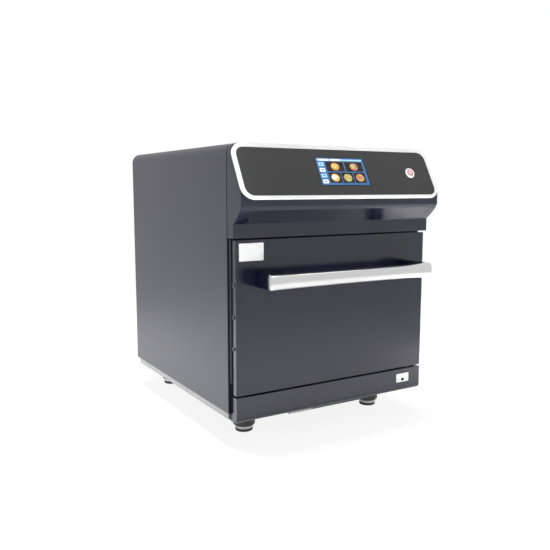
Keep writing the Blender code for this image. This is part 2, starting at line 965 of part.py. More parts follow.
def heater(material):
    """A ring element round the fan, with two legs that stand on the cavity's rear wall."""
    centre_y = fan_y() + fan_depth / 2
    ring = []
    for step in range(heater_segments):
        angle = 2 * math.pi * step / heater_segments
        outward = Vector((math.cos(angle), 0, math.sin(angle)))
        circle = []
        for side in range(heater_sides):
            turn = 2 * math.pi * side / heater_sides
            radial = heater_radius + heater_tube_radius * math.cos(turn)
            depth = heater_tube_radius * math.sin(turn)
            circle.append(fan_centre + outward * radial + Vector((0, centre_y + depth, 0)))
        ring.append(circle)
    legs = []
    for side in (-1, 1):
        angle = math.radians(-90 + side * heater_leg_angle)
        x = heater_radius * math.cos(angle)
        z = fan_centre.z + heater_radius * math.sin(angle)
        length = cavity_inner_rear_y - seat_gap - centre_y
        radius = heater_tube_radius * heater_leg_share
        profile = [(0, 0), (radius, 0), (radius, length), (0, length)]
        legs.append(turned(profile, heater_sides, facing_back(x, centre_y, z)))
    return make("heater", loft(ring, closed=True), material, adds=[joined(*legs)])


def insulation(material):
    grow = cavity_wall + seat_gap
    near = cavity_front_y + insulation_front_inset
    far = cavity_rear_y + seat_gap
    outer = prism(mouth_outline(grow + insulation_wall), near, far + insulation_wall, "Y")
    inner = prism(mouth_outline(grow), near - cut_overrun, far, "Y")
    feed_half = waveguide_width / 2 + waveguide_gap
    feed_low = (-feed_half, feed_y() - waveguide_gap, cavity_top)
    feed_high_z = cavity_top + grow + insulation_wall + cut_overrun
    feed_high = (feed_half, feed_y() + waveguide_depth + waveguide_gap, feed_high_z)
    radius = motor_flange_radius + insulation_motor_gap
    length = insulation_wall + 2 * cut_overrun
    profile = [(0, 0), (radius, 0), (radius, length), (0, length)]
    place = facing_back(0, far - cut_overrun, fan_centre.z)
    motor_hole = turned(profile, shaft_segments, place)
    return make("insulation", outer, material, cuts=[inner, box(feed_low, feed_high), motor_hole])


def feed_base():
    return cavity_top + cavity_wall + seat_gap


def waveguide(material):
    half = waveguide_width / 2
    low = (-half, feed_y(), feed_base())
    high = (half, feed_y() + waveguide_depth, feed_base() + waveguide_height)
    inside_low = (low[0] + cavity_wall, low[1] + cavity_wall, low[2] - cut_overrun)
    inside_high = (high[0] - cavity_wall, high[1] - cavity_wall, high[2] - cavity_wall)
    return make("waveguide", box(low, high), material, cuts=[box(inside_low, inside_high)])


def magnetron(material):
    """A base plate, a finned core and the filter box on top."""
    base = feed_base() + waveguide_height + seat_gap
    half = magnetron_width / 2
    middle = feed_y() + waveguide_depth / 2
    near = middle - magnetron_depth / 2
    far = middle + magnetron_depth / 2
    plate = box((-half, near, base), (half, far, base + magnetron_base))
    core_half = magnetron_core_width / 2
    stack = magnetron_fins * magnetron_fin_pitch
    core_top = base + magnetron_base + stack
    core_low = (-core_half, middle - core_half, base + magnetron_base / 2)
    core = box(core_low, (core_half, middle + core_half, core_top + magnetron_fin))
    fins = []
    for index in range(magnetron_fins):
        level = base + magnetron_base + (index + 1) * magnetron_fin_pitch - magnetron_fin
        fins.append(box((-half, near, level), (half, far, level + magnetron_fin)))
    top_low = (-half, near, core_top)
    top = box(top_low, (half, far, core_top + magnetron_box_height))
    return make("magnetron", plate, material, adds=[core, joined(*fins[:-1]), top])


def transformer(material):
    left = -chassis_half_width + transformer_side_inset
    far = cavity_rear_y + transformer_rear_gap
    base = chassis_floor_top + seat_gap
    core = box((left, far, base),
               (left + transformer_width, far + transformer_depth, base + transformer_height))
    middle_z = base + transformer_height / 2
    half = transformer_coil_height / 2
    outline = rounded_outline(
        (left - transformer_coil_reach, middle_z - half),
        (left + transformer_width + transformer_coil_reach, middle_z + half),
        transformer_coil_rounding, transformer_coil_rounding, edge_steps // 2)
    quarter = transformer_depth / 4
    coil = prism(outline, far + quarter, far + transformer_depth - quarter, "Y")
    return make("transformer", core, material, adds=[coil])


def control_board(material):
    """The board stands off the rear panel on four posts and carries its larger chips."""
    left = board_x - board_width / 2
    low_z = cover_top - board_head_drop
    face = rear_panel_y - seat_gap - board_standoff
    board = box((left, face - board_wall, low_z), (left + board_width, face, low_z + board_height))
    posts = []
    chips = []
    for x in (left + board_standoff_inset, left + board_width - board_standoff_inset):
        for z in (low_z + board_standoff_inset, low_z + board_height - board_standoff_inset):
            length = board_standoff + board_wall / 2
            profile = [(0, 0), (board_standoff_radius, 0), (board_standoff_radius, length),
                       (0, length)]
            place = facing_back(x, face - board_wall / 2, z)
            posts.append(turned(profile, hole_segments, place))
    for index in (-1, 0, 1):
        x = board_x + index * board_chip_pitch
        z = low_z + board_height / 2 + index * board_chip_height
        low = (x - board_chip_width / 2, face - board_wall - board_chip_depth,
               z - board_chip_height / 2)
        high = (x + board_chip_width / 2, face - board_wall / 2, z + board_chip_height / 2)
        chips.append(box(low, high))
    return make("control_board", board, material, adds=[joined(*posts), joined(*chips)])


def cooler_centre():
    base = chassis_floor_top + seat_gap + cooler_size / 2
    rear = chassis_rear_y - chassis_wall - seat_gap
    across = half_width - cooler_side_inset - cooler_size / 2
    return Vector((across, rear - cooler_depth, base))


def cooling_fan_frame(material):
    """The square fan frame; its struts carry a hub plate and the rotor's pin."""
    centre = cooler_centre()
    half = cooler_size / 2
    frame = box((centre.x - half, centre.y, centre.z - half),
                (centre.x + half, centre.y + cooler_depth, centre.z + half))
    start = facing_back(centre.x, centre.y - cut_overrun, centre.z)
    length = cooler_depth + 2 * cut_overrun
    profile = [(0, 0), (cooler_duct_radius, 0), (cooler_duct_radius, length), (0, length)]
    duct = turned(profile, cooler_segments, start)
    strut_low = centre.y + cooler_depth - cooler_strut_depth
    strut_high = centre.y + cooler_depth
    wide = cooler_duct_radius + cooler_strut_depth / 2
    thin = cooler_strut_width / 2
    flat = box((centre.x - wide, strut_low, centre.z - thin),
               (centre.x + wide, strut_high, centre.z + thin))
    tall = box((centre.x - thin, strut_low, centre.z - wide),
               (centre.x + thin, strut_high, centre.z + wide))
    pin_length = cooler_depth - cooler_strut_depth / 2
    pin = [(0, cooler_pin_start()), (cooler_pin_radius, cooler_pin_start()),
           (cooler_pin_radius, pin_length), (0, pin_length)]
    plate_start = cooler_depth - cooler_strut_depth
    plate = [(0, plate_start), (cooler_hub_radius, plate_start),
             (cooler_hub_radius, cooler_depth), (0, cooler_depth)]
    place = facing_back(centre.x, centre.y, centre.z)
    piece = make("cooling_fan_frame", frame, material, cuts=[duct])
    for part in (flat, tall, turned(plate, shaft_segments, place), turned(pin, shaft_segments, place)):
        apply_boolean(piece, "UNION", part)
    return piece


def cooler_pin_start():
    return cooler_depth - cooler_strut_depth - cooler_hub_depth


def cooling_fan_rotor(material):
    """A hub with twisted blades that turns on the frame's pin."""
    centre = cooler_centre()
    place = facing_back(centre.x, centre.y, centre.z)
    end = cooler_depth - cooler_strut_depth - seat_gap
    start = end - cooler_hub_depth
    bore = cooler_pin_radius + seat_gap
    profile = [(bore, end), (cooler_hub_radius, end), (cooler_hub_radius, start), (bore, start)]
    hub = turned(profile, cooler_segments, place, True)
    middle = (start + end) / 2
    blades = []
    for step in range(cooler_blades):
        turn = Matrix.Rotation(2 * math.pi * step / cooler_blades, 4, "Z")
        pitch = Matrix.Rotation(math.radians(cooler_blade_angle), 4, "X")
        half_chord = cooler_blade_chord / 2
        half_wall = cooler_blade_thickness / 2
        low = (cooler_hub_radius - cooler_blade_root, -half_chord, -half_wall)
        high = (cooler_blade_radius, half_chord, half_wall)
        blades.append(placed(box(low, high), place @ turn @ moved_to(0, 0, middle) @ pitch))
    return make("cooling_fan_rotor", hub, material, adds=[joined(*blades)])


# Control housing with its sloped panel

def undercut_point(share):
    """The end profile's undercut, a smooth curve from the band up to the nose."""
    low = Vector((band_reach, band_base + band_height))
    high = Vector((nose_reach, nose_base))
    pull = Vector((low[0] + (high[0] - low[0]) * undercut_pull_reach_share,
                   low[1] + (high[1] - low[1]) * undercut_pull_height_share))
    return low * (1 - share) ** 2 + pull * 2 * share * (1 - share) + high * share ** 2


def undercut_inward():
    """The way into the housing, square to the undercut's chord."""
    chord = Vector((nose_reach - band_reach, nose_base - band_base - band_height))
    return Vector((-chord[1], chord[0])) / chord.length


def housing_profile(scoop_share):
    """Points (reach, height) round the side profile; the scoop's size falls off to its ends."""
    profile = [(seat_gap, band_base), (band_reach, band_base)]
    edge_share = scoop_height_share * scoop_share
    inward = undercut_inward()
    for step in range(scoop_steps + 1):
        along = step / scoop_steps
        depth = scoop_depth * scoop_share * math.sin(math.pi * along)
        point = undercut_point(edge_share * along) + inward * depth
        profile.append((point[0], point[1]))
    for step in range(1, lip_steps + 1):
        point = undercut_point(edge_share + (1 - edge_share) * step / lip_steps)
        profile.append((point[0], point[1]))
    profile += [(nose_reach, nose_top), (slope_top_reach, cover_height), (seat_gap, cover_height)]
    return profile


def housing_stations():
    """Places across the housing with the scoop's share there, from the left end to the right."""
    stations = []
    for step in range(scoop_end_steps + 1):
        angle = math.radians(90 * step / scoop_end_steps)
        place = half_width - scoop_corner * (1 - math.cos(angle))
        stations.append((place, max(math.sin(angle), scoop_edge_share)))
    left = [(-place, share) for place, share in stations]
    right = [(place, share) for place, share in reversed(stations)]
    return left + right


def offset_outline(outline, distance):
    """Moves each side of a closed outline inwards and gives the new corners."""
    count = len(outline)
    area = sum(outline[i - 1][0] * outline[i][1] - outline[i][0] * outline[i - 1][1]
               for i in range(count))
    sense = 1 if area > 0 else -1
    moved = []
    for index in range(count):
        before = Vector(outline[index - 1])
        here = Vector(outline[index])
        after = Vector(outline[(index + 1) % count])
        first = (here - before).normalized()
        second = (after - here).normalized()
        first_in = Vector((-first[1], first[0])) * sense
        second_in = Vector((-second[1], second[0])) * sense
        middle = (first_in + second_in).normalized()
        moved.append(tuple(here + middle * distance / middle.dot(first_in)))
    return moved


def to_profile(outline):
    """Turns (reach, height) points into the world's (y, z)."""
    return [(front_y - reach, cover_base + height) for reach, height in outline]


def control_housing(material):
    rings = []
    for place, share in housing_stations():
        rings.append([(place, y, z) for y, z in to_profile(housing_profile(share))])
    shell = loft(rings)
    reach = nose_reach + cut_overrun
    ends = cover_outline(0, cover_base + band_base - cut_overrun)
    bound = prism(ends, front_y - reach, front_y, "Y")
    hollow_profile = offset_outline(housing_profile(1), housing_wall)
    hollow_profile[0] = (-cut_overrun, hollow_profile[0][1])
    hollow_profile[-1] = (-cut_overrun, hollow_profile[-1][1])
    hollow = prism(to_profile(hollow_profile), -half_width + housing_wall,
                   half_width - housing_wall, "X")
    hollow_ends = cover_outline(housing_wall, cover_base + band_base - cut_overrun)
    hollow_bound = prism(hollow_ends, front_y - reach, front_y + 2 * cut_overrun, "Y")
    hollow_piece = make("hollow", hollow, material, keeps=[hollow_bound])
    hollow_shape = ([tuple(v.co) for v in hollow_piece.data.vertices],
                    [tuple(p.vertices) for p in hollow_piece.data.polygons])
    bpy.data.objects.remove(hollow_piece, do_unlink=True)
    return make("control_housing", shell, material, keeps=[bound],
                cuts=[hollow_shape, screen_window(seat_gap), barrel_hole()])


def bezel_low():
    return (-half_width + bezel_side_inset, -bezel_overhang)


def bezel_high():
    return (half_width - bezel_side_inset, slope_length - bezel_top_inset)


def bezel_window(inset):
    low = (bezel_low()[0] + bezel_side_width + inset, bezel_low()[1] + bezel_bottom_width + inset)
    high = (bezel_high()[0] - bezel_side_width - inset, bezel_high()[1] - bezel_top_width - inset)
    radius = bezel_inner_radius - inset
    return rounded_outline(low, high, radius, radius, bezel_corner_steps)


def bezel_frame(material):
    """A flat ring whose outer and inner top edges are eased."""
    rings = []
    heights = (
        (seat_gap, 0),
        (bezel_thickness - bezel_rounding, 0),
        (bezel_thickness - bezel_rounding / 3, bezel_rounding / 3),
        (bezel_thickness, bezel_rounding),
    )
    for height, inset in heights:
        low = (bezel_low()[0] + inset, bezel_low()[1] + inset)
        high = (bezel_high()[0] - inset, bezel_high()[1] - inset)
        radius = bezel_corner_radius - inset
        outline = rounded_outline(low, high, radius, radius, bezel_corner_steps)
        rings.append([(x, y, height) for x, y in outline])
    for height, inset in reversed(heights):
        rings.append([(x, y, height) for x, y in bezel_window(-inset)])
    shape = placed(loft(rings, closed=True), panel_matrix())
    return make("bezel_frame", shape, material)


def screen_window(gap):
    low = (-screen_width / 2 - gap, screen_base - gap, -screen_depth)
    high = (screen_width / 2 + gap, screen_base + screen_height + gap, bezel_thickness + cut_overrun)
    return placed(box(low, high), panel_matrix())


def button_matrix():
    return panel_matrix() @ moved_to(half_width - button_side_inset, button_rise, 0)


def barrel_hole():
    radius = ring_barrel_radius + seat_gap
    top = bezel_thickness + cut_overrun
    profile = [(0, -ring_depth), (radius, -ring_depth), (radius, top), (0, top)]
    return turned(profile, button_segments, button_matrix())


def glass_top():
    return bezel_thickness - glass_inset


def glass_panel(material):
    outline = bezel_window(seat_gap)
    shape = placed(prism(outline, seat_gap, glass_top(), "Z"), panel_matrix())
    return make("glass_panel", shape, material, cuts=[screen_window(seat_gap), barrel_hole()])


def touch_screen(material):
    low = (-screen_width / 2, screen_base, glass_top() - screen_depth)
    high = (screen_width / 2, screen_base + screen_height, glass_top())
    return make("touch_screen", placed(box(low, high), panel_matrix()), material)


def button_ring(material):
    """A flanged barrel through the glass; its flange rests on the glass."""
    seat = glass_top() + seat_gap
    top = glass_top() + ring_stand
    end = glass_top() - ring_depth
    profile = [
        (ring_inner_radius, end),
        (ring_barrel_radius, end),
        (ring_barrel_radius, seat),
        (ring_radius, seat),
        (ring_radius, top - ring_rounding),
        (ring_radius - ring_rounding, top),
        (ring_inner_radius, top),
    ]
    return make("button_ring", turned(profile, button_segments, button_matrix(), True), material)


def power_button(material):
    top = glass_top() + button_stand
    profile = [
        (0, top - button_length),
        (button_radius, top - button_length),
        (button_radius, top - ring_rounding),
        (button_radius - ring_rounding, top),
        (button_radius * button_rim_share, top - button_dish / 2),
        (0, top - button_dish),
    ]
    return make("power_button", turned(profile, button_segments, button_matrix()), material)


# Door

def hinge_places():
    reach = door_half_width - hinge_side_inset
    return {"left": -reach, "right": reach}


def door_shell(material):
    """The outer pan of the door, with slots in its lower edge for the hinge brackets."""
    low = (-door_half_width, door_z)
    high = (door_half_width, door_top_z)
    outer = prism(rounded_outline(low, high, door_edge_radius, door_edge_radius, 2),
                  door_front_y, door_rear_y, "Y")
    inside_low = (low[0] + door_wall, door_front_y + door_wall, low[1] + door_wall)
    inside_high = (high[0] - door_wall, door_rear_y + cut_overrun, high[1] - door_wall)
    slots = []
    for x in hinge_places().values():
        half = hinge_plate / 2 + hinge_slot_gap
        slot_low = (x - half, door_front_y + door_wall, door_z - cut_overrun)
        slots.append(box(slot_low, (x + half, door_rear_y + cut_overrun, door_z + 2 * door_wall)))
    holes = []
    for x in bracket_places().values():
        radius = handle_screw_radius + seat_gap
        length = door_wall + 2 * cut_overrun
        profile = [(0, 0), (radius, 0), (radius, length), (0, length)]
        place = facing_back(x, door_front_y - cut_overrun, handle_z)
        holes.append(turned(profile, screw_segments, place))
    for z in side_screw_heights():
        radius = side_screw_radius + seat_gap
        start = -door_half_width - cut_overrun
        length = 2 * (door_half_width + cut_overrun)
        profile = [(0, 0), (radius, 0), (radius, length), (0, length)]
        place = facing_right(start, door_front_y + side_screw_set_in, z)
        holes.append(turned(profile, screw_segments, place))
    return make("door_shell", outer, material,
                cuts=[box(inside_low, inside_high), joined(*slots), joined(*holes)])


def inner_panel_base():
    return door_z + inner_panel_rise


def inner_panel_top():
    return door_top_z - door_wall - seat_gap


def door_inner_panel(material):
    """The inner pan: a plate in the shell's open back that swells towards the cavity's mouth."""
    half = door_half_width - door_wall - seat_gap
    plate_low = (-half, door_rear_y - inner_panel_wall, inner_panel_base())
    plate_high = (half, door_rear_y, inner_panel_top())
    pan_half = door_half_width - inner_panel_side_inset
    pan_low = inner_panel_base() + inner_panel_pan_rise
    pan_high = door_top_z - inner_panel_head_inset
    reach = door_rear_y + inner_panel_reach

    def ring(shrink, y):
        outline = rounded_outline((-pan_half + shrink, pan_low + shrink),
                                  (pan_half - shrink, pan_high - shrink),
                                  gasket_corner_radius - shrink, gasket_corner_radius - shrink,
                                  edge_steps // 2)
        return [(x, y, z) for x, z in outline]

    middle_y = door_rear_y - inner_panel_wall / 2
    pan = loft([ring(0, middle_y), ring(0, door_rear_y), ring(inner_panel_taper, reach)])
    wall = inner_panel_wall
    hollow = loft([ring(wall, door_rear_y - wall - cut_overrun), ring(wall, door_rear_y),
                   ring(inner_panel_taper + wall, reach - wall)])
    returns = []
    for side in (-1, 1):
        edge = side * half
        inner = edge - side * inner_panel_wall
        low = (min(edge, inner), door_front_y + side_screw_set_in - side_screw_radius * 2,
               inner_panel_base())
        returns.append(box(low, (max(edge, inner), door_rear_y - inner_panel_wall / 2,
                                 inner_panel_top())))
    piece = make("door_inner_panel", box(plate_low, plate_high), material,
                 adds=[pan, joined(*returns)], cuts=[hollow])
    holes = []
    for z in side_screw_heights():
        radius = side_screw_radius + seat_gap
        length = 2 * (door_half_width + cut_overrun)
        profile = [(0, 0), (radius, 0), (radius, length), (0, length)]
        place = facing_right(-length / 2, door_front_y + side_screw_set_in, z)
        holes.append(turned(profile, screw_segments, place))
    apply_boolean(piece, "DIFFERENCE", joined(*holes))
    return piece


def door_gasket(material):
    """A square-section ring on the inner pan that meets the front frame round the mouth."""
    start = door_rear_y + inner_panel_reach + seat_gap
    end = frame_front_y - seat_gap
    inner = rounded_outline(
        (-cavity_width / 2 - gasket_margin, cavity_base - gasket_margin),
        (cavity_width / 2 + gasket_margin, cavity_top + gasket_margin),
        gasket_corner_radius, gasket_corner_radius, edge_steps // 2)
    grow = gasket_margin + gasket_width
    outer = rounded_outline(
        (-cavity_width / 2 - grow, cavity_base - grow),
        (cavity_width / 2 + grow, cavity_top + grow),
        gasket_corner_radius + gasket_width, gasket_corner_radius + gasket_width, edge_steps // 2)
    rings = [[(x, y, z) for x, z in outline]
             for outline, y in ((inner, start), (inner, end), (outer, end), (outer, start))]
    return make("door_gasket", loft(rings, closed=True), material)


def side_screw_heights():
    middle = door_middle_z + side_screw_rise
    return [middle + step * side_screw_pitch for step in (1, 0, -1)]


def door_side_screw(name, side, z, material):
    """A pan-head screw through the shell's edge into the inner panel's return."""
    face = door_half_width + seat_gap
    profile = [
        (0, face + side_screw_head),
        (side_screw_head_radius * side_screw_dome_share, face + side_screw_head),
        (side_screw_head_radius, face + side_screw_head / 2),
        (side_screw_head_radius, face),
        (side_screw_radius, face),
        (side_screw_radius, face - side_screw_length),
        (0, face - side_screw_length),
    ]
    turn = facing_right(0, door_front_y + side_screw_set_in, z)
    if side < 0:
        turn = turn @ Matrix.Rotation(math.radians(180), 4, "X")
    return make(name, turned(profile, screw_segments, turn), material)


def bracket_places():
    reach = handle_length / 2 - bracket_end_inset - bracket_width / 2
    return {"left": -reach, "right": reach}


def handle_ring(x, grow, height):
    """The bar's oval section at one place along it."""
    middle_y = front_y - handle_reach + handle_depth / 2
    ring = []
    for step in range(handle_segments):
        angle = 2 * math.pi * step / handle_segments
        y = middle_y + (handle_depth / 2 + grow) * math.cos(angle)
        z = handle_z + (height / 2 + grow) * math.sin(angle)
        ring.append((x, y, z))
    return ring


def handle_shape(grow):
    """The bar, whose height flares gently to its ends."""
    places = []
    half = handle_length / 2 + grow
    for step in range(handle_flare_steps + 1):
        share = step / handle_flare_steps
        height = handle_end_height + (handle_height - handle_end_height) * (2 - share) * share
        places.append((half - share * handle_flare_length, height))
    left = [(-place, height) for place, height in places]
    right = [(place, height) for place, height in reversed(places)]
    return loft([handle_ring(place, grow, height) for place, height in left + right])


def handle_bracket(name, x, material):
    """A block from the door's face to the bar, hollowed to cup the back of the bar."""
    far = door_front_y - seat_gap
    near = front_y - handle_reach + handle_depth - bracket_front_cover
    half = bracket_width / 2
    tall = bracket_height / 2
    outline = rounded_outline((x - half, handle_z - tall), (x + half, handle_z + tall),
                              bracket_rounding, bracket_rounding, edge_steps // 2)
    radius = handle_screw_radius + seat_gap
    depth = handle_screw_length - door_wall
    profile = [(0, 0), (radius, 0), (radius, depth), (0, depth)]
    hole = turned(profile, screw_segments, facing_back(x, far - depth + cut_overrun, handle_z))
    return make(name, prism(outline, near, far, "Y"), material, cuts=[handle_shape(seat_gap), hole])


def handle_screw(name, x, material):
    """The head bears on the inside of the door's front and the shank runs into the bracket."""
    seat = door_front_y + door_wall + seat_gap
    end = handle_screw_length - door_wall - seat_gap - cut_overrun
    profile = [
        (0, handle_screw_head),
        (handle_screw_head_radius, handle_screw_head),
        (handle_screw_head_radius, 0),
        (handle_screw_radius, 0),
        (handle_screw_radius, -end),
        (0, -end),
    ]
    return make(name, turned(profile, screw_segments, facing_back(x, seat, handle_z)), material)


def hinge_bracket(name, x, material):
    """A fixed plate with a flange against the front frame and a riveted pin for the door's arm."""
    half = hinge_plate / 2
    back = frame_front_y - seat_gap
    outline = arc((hinge_y, hinge_z), hinge_eye_radius, 270, 90, edge_steps)
    outline += [(back, hinge_z + hinge_eye_radius), (back, hinge_z - hinge_eye_radius)]
    plate = prism(outline, x - half, x + half, "X")
    flange_low = (x - hinge_flange_width / 2, back - hinge_flange_wall,
                  hinge_z - hinge_eye_radius * 2)
    flange_high = (x + hinge_flange_width / 2, back, flange_low[2] + hinge_flange_height)
    return make(name, plate, material, adds=[box(flange_low, flange_high), hinge_pin(x)])


def hinge_pin(x):
    """The pin runs from its head outside the bracket through the arm."""
    sign = math.copysign(1, x)
    inside = abs(hinge_arm_place(x)) - hinge_plate / 2 - seat_gap
    outside = abs(x) + hinge_plate / 2
    profile = [
        (0, inside),
        (hinge_pin_radius, inside),
        (hinge_pin_radius, outside - hinge_plate / 2),
        (hinge_pin_head_radius, outside - hinge_plate / 2),
        (hinge_pin_head_radius, outside + hinge_pin_head),
        (0, outside + hinge_pin_head),
    ]
    turn = facing_right(0, hinge_y, hinge_z)
    if sign < 0:
        turn = turn @ Matrix.Rotation(math.radians(180), 4, "X")
    return turned(profile, hinge_segments, turn)


def hinge_arm_place(x):
    """The arm stands beside the bracket, towards the middle of the door."""
    return x - math.copysign(hinge_plate + seat_gap * 2, x)


def hinge_arm(name, x, material):
    """The door's plate on the pin; it stands up inside the shell against the front wall."""
    middle = hinge_arm_place(x)
    half = hinge_plate / 2
    near = door_front_y + door_wall + seat_gap
    far = door_rear_y - inner_panel_wall - seat_gap
    top = hinge_z + hinge_arm_height
    radius = hinge_y - near
    outline = arc((hinge_y, hinge_z), min(radius, far - hinge_y), 180, 360, edge_steps)
    outline += [(far, hinge_z), (far, top), (near, top), (near, hinge_z)]
    plate = prism(outline, middle - half, middle + half, "X")
    bore = hinge_pin_radius + seat_gap
    profile = [(0, 0), (bore, 0), (bore, 2 * hinge_plate), (0, 2 * hinge_plate)]
    hole = turned(profile, hinge_segments, facing_right(middle - hinge_plate, hinge_y, hinge_z))
    return make(name, plate, material, cuts=[hole])


def badge_plate(material):
    left = -door_half_width + badge_side_inset
    high = door_top_z - badge_head_inset
    outline = rounded_outline((left, high - badge_height), (left + badge_width, high),
                              badge_corner_radius, badge_corner_radius, 3)
    near = door_front_y - seat_gap - badge_wall
    return make("badge_plate", prism(outline, near, door_front_y - seat_gap, "Y"), material)


# Lower panel, port plate and air filter

def lower_panel_top():
    return door_z - lower_panel_gap


def port_hole():
    place = facing_back(port_plate_x, door_front_y - port_plate_wall - cut_overrun, port_plug_z())
    radius = port_plug_radius + seat_gap
    length = lower_panel_wall + port_plate_wall + 2 * cut_overrun
    profile = [(0, 0), (radius, 0), (radius, length), (0, length)]
    return turned(profile, screw_segments, place)


def port_plug_z():
    return cover_base + port_plate_rise + port_plug_rise


def lower_panel_section(inset, rear):
    """The panel from the side: the front runs down, folds back under and ends at rear."""
    near = door_front_y + inset
    base = lower_panel_base + inset
    radius = lower_panel_fold_radius - inset
    section = [(rear, base), (rear, lower_panel_top() - inset), (near, lower_panel_top() - inset)]
    return section + arc((near + radius, base + radius), radius, 180, 270, edge_steps)


def lower_panel(material):
    """A shallow pan under the door whose toe runs back to the chassis."""
    toe = chassis_front_y - seat_gap
    wall = lower_panel_wall
    outer = prism(lower_panel_section(0, toe), -door_half_width, door_half_width, "X")
    hollow = prism(lower_panel_section(wall, toe + cut_overrun), wall - door_half_width,
                   door_half_width - wall, "X")
    over_toe = box((-door_half_width - cut_overrun, door_front_y + lower_panel_depth, cover_base),
                   (door_half_width + cut_overrun, toe + cut_overrun,
                    lower_panel_top() + cut_overrun))
    return make("lower_panel", outer, material, cuts=[hollow, over_toe, port_hole()])


def port_plate(material):
    low_z = cover_base + port_plate_rise
    half = port_plate_width / 2
    outline = rounded_outline((port_plate_x - half, low_z),
                              (port_plate_x + half, low_z + port_plate_height),
                              port_plate_corner_radius, port_plate_corner_radius, 3)
    far = door_front_y - seat_gap
    return make("port_plate", prism(outline, far - port_plate_wall, far, "Y"), material,
                cuts=[port_hole()])


def port_plug(material):
    """The small plug in the plate's hole."""
    start = -port_plate_wall - port_plug_stand
    end = lower_panel_wall
    profile = [
        (0, start),
        (port_plug_radius * port_plug_dome_share, start),
        (port_plug_radius, start + port_plug_stand / 2),
        (port_plug_radius, end),
        (0, end),
    ]
    place = facing_back(port_plate_x, door_front_y, port_plug_z())
    return make("port_plug", turned(profile, screw_segments, place), material)


def air_filter(material):
    """A flat frame of bars that slides on two rails, with a pull tab at its front."""
    half = filter_width / 2
    near = front_y - filter_front_inset + filter_tab_wall
    far = front_y - filter_front_inset + filter_length
    columns = breaks(-half, half, filter_columns, filter_bar)
    rows = breaks(near, far, filter_rows, filter_bar)
    holes = {(2 * column + 1, 2 * row + 1)
             for column in range(filter_columns) for row in range(filter_rows)}
    tab_low = (-half, near - filter_tab_wall, filter_base + filter_tab_base_inset)
    tab_high = (filter_tab_width - half, near + filter_bar / 2, filter_top - filter_tab_top_inset)
    plate = grid_plate(columns, rows, holes, filter_base, filter_top)
    return make("air_filter", plate, material, adds=[box(tab_low, tab_high)])


def build():
    clear_scene()
    grey_paint = finish("grey_paint", (0.135, 0.133, 0.148), 0.42, 0.35)
    dark_paint = finish("dark_paint", (0.055, 0.056, 0.068), 0.34, 0.45)
    bright_steel = finish("bright_steel", (0.62, 0.62, 0.64), 0.3, 1.0)
    steel = finish("steel", (0.5, 0.5, 0.51), 0.38, 1.0)
    chrome = finish("chrome", (0.8, 0.8, 0.8), 0.12, 1.0)
    white_gloss = finish("white_gloss", (0.85, 0.85, 0.86), 0.25, 0.0)
    white_matte = finish("white_matte", (0.8, 0.8, 0.81), 0.45, 0.0)
    dark_glass = finish("dark_glass", (0.07, 0.07, 0.07), 0.12, 0.0)
    display_blue = finish("display_blue", (0.02, 0.3, 0.55), 0.15, 0.0)
    button_rose = finish("button_rose", (0.8, 0.5, 0.5), 0.3, 0.0)
    black_plastic = finish("black_plastic", (0.015, 0.015, 0.02), 0.45, 0.0)
    rubber = finish("rubber", (0.02, 0.02, 0.02), 0.7, 0.0)
    fibre = finish("fibre", (0.75, 0.73, 0.68), 0.95, 0.0)
    ceramic = finish("ceramic", (0.4, 0.36, 0.3), 0.9, 0.0)
    board_green = finish("board_green", (0.02, 0.15, 0.06), 0.5, 0.0)
    copper = finish("copper", (0.6, 0.3, 0.15), 0.4, 0.8)

    outer_cover(grey_paint)
    base_chassis(bright_steel)
    rear_panel(steel)
    inlet_gland(black_plastic)
    for corner, (x, y) in foot_places().items():
        foot_body("foot_body_" + corner, x, y, black_plastic)
        shank = foot_adjuster("foot_adjuster_" + corner, x, y, bright_steel)
        carry("foot_axis_" + corner, (x, y, 0), [shank])

    front_frame(steel)
    cavity(steel)
    rack_runner("rack_runner_left", -1, steel)
    rack_runner("rack_runner_right", 1, steel)
    rack(chrome)
    jet_plate(steel)
    catalyst(ceramic)
    heater(steel)
    insulation(fibre)
    waveguide(steel)
    magnetron(steel)
    transformer(copper)
    control_board(board_green)
    fan_motor(steel)
    wheel = [convection_fan(steel), fan_shaft(steel)]
    carry("convection_fan_axis", (0, fan_y(), fan_centre.z), wheel)
    cooling_fan_frame(black_plastic)
    carry("cooling_fan_axis", tuple(cooler_centre()), [cooling_fan_rotor(black_plastic)])

    control_housing(dark_paint)
    bezel_frame(white_gloss)
    glass_panel(dark_glass)
    touch_screen(display_blue)
    button_ring(chrome)
    carry("button_axis", tuple(button_matrix().translation), [power_button(button_rose)])

    door = [door_shell(dark_paint), door_inner_panel(steel), door_gasket(rubber),
            badge_plate(white_matte), make("handle_bar", handle_shape(0), bright_steel)]
    for side, x in bracket_places().items():
        door.append(handle_bracket("handle_bracket_" + side, x, black_plastic))
        door.append(handle_screw("handle_screw_" + side, x, steel))
    for side, sign in (("left", -1), ("right", 1)):
        for number, z in enumerate(side_screw_heights(), start=1):
            name = "door_side_screw_" + side + "_" + str(number)
            door.append(door_side_screw(name, sign, z, steel))
    for side, x in hinge_places().items():
        hinge_bracket("hinge_bracket_" + side, x, steel)
        door.append(hinge_arm("hinge_arm_" + side, x, steel))
    carry("door_axis", (0, hinge_y, hinge_z), door)

    lower_panel(dark_paint)
    port_plate(white_matte)
    port_plug(black_plastic)
    filter_place = (0, front_y - filter_front_inset, foot_height)
    carry("filter_axis", filter_place, [air_filter(steel)])


build()
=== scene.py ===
import math

import bmesh
import bpy
from mathutils import Matrix, Vector

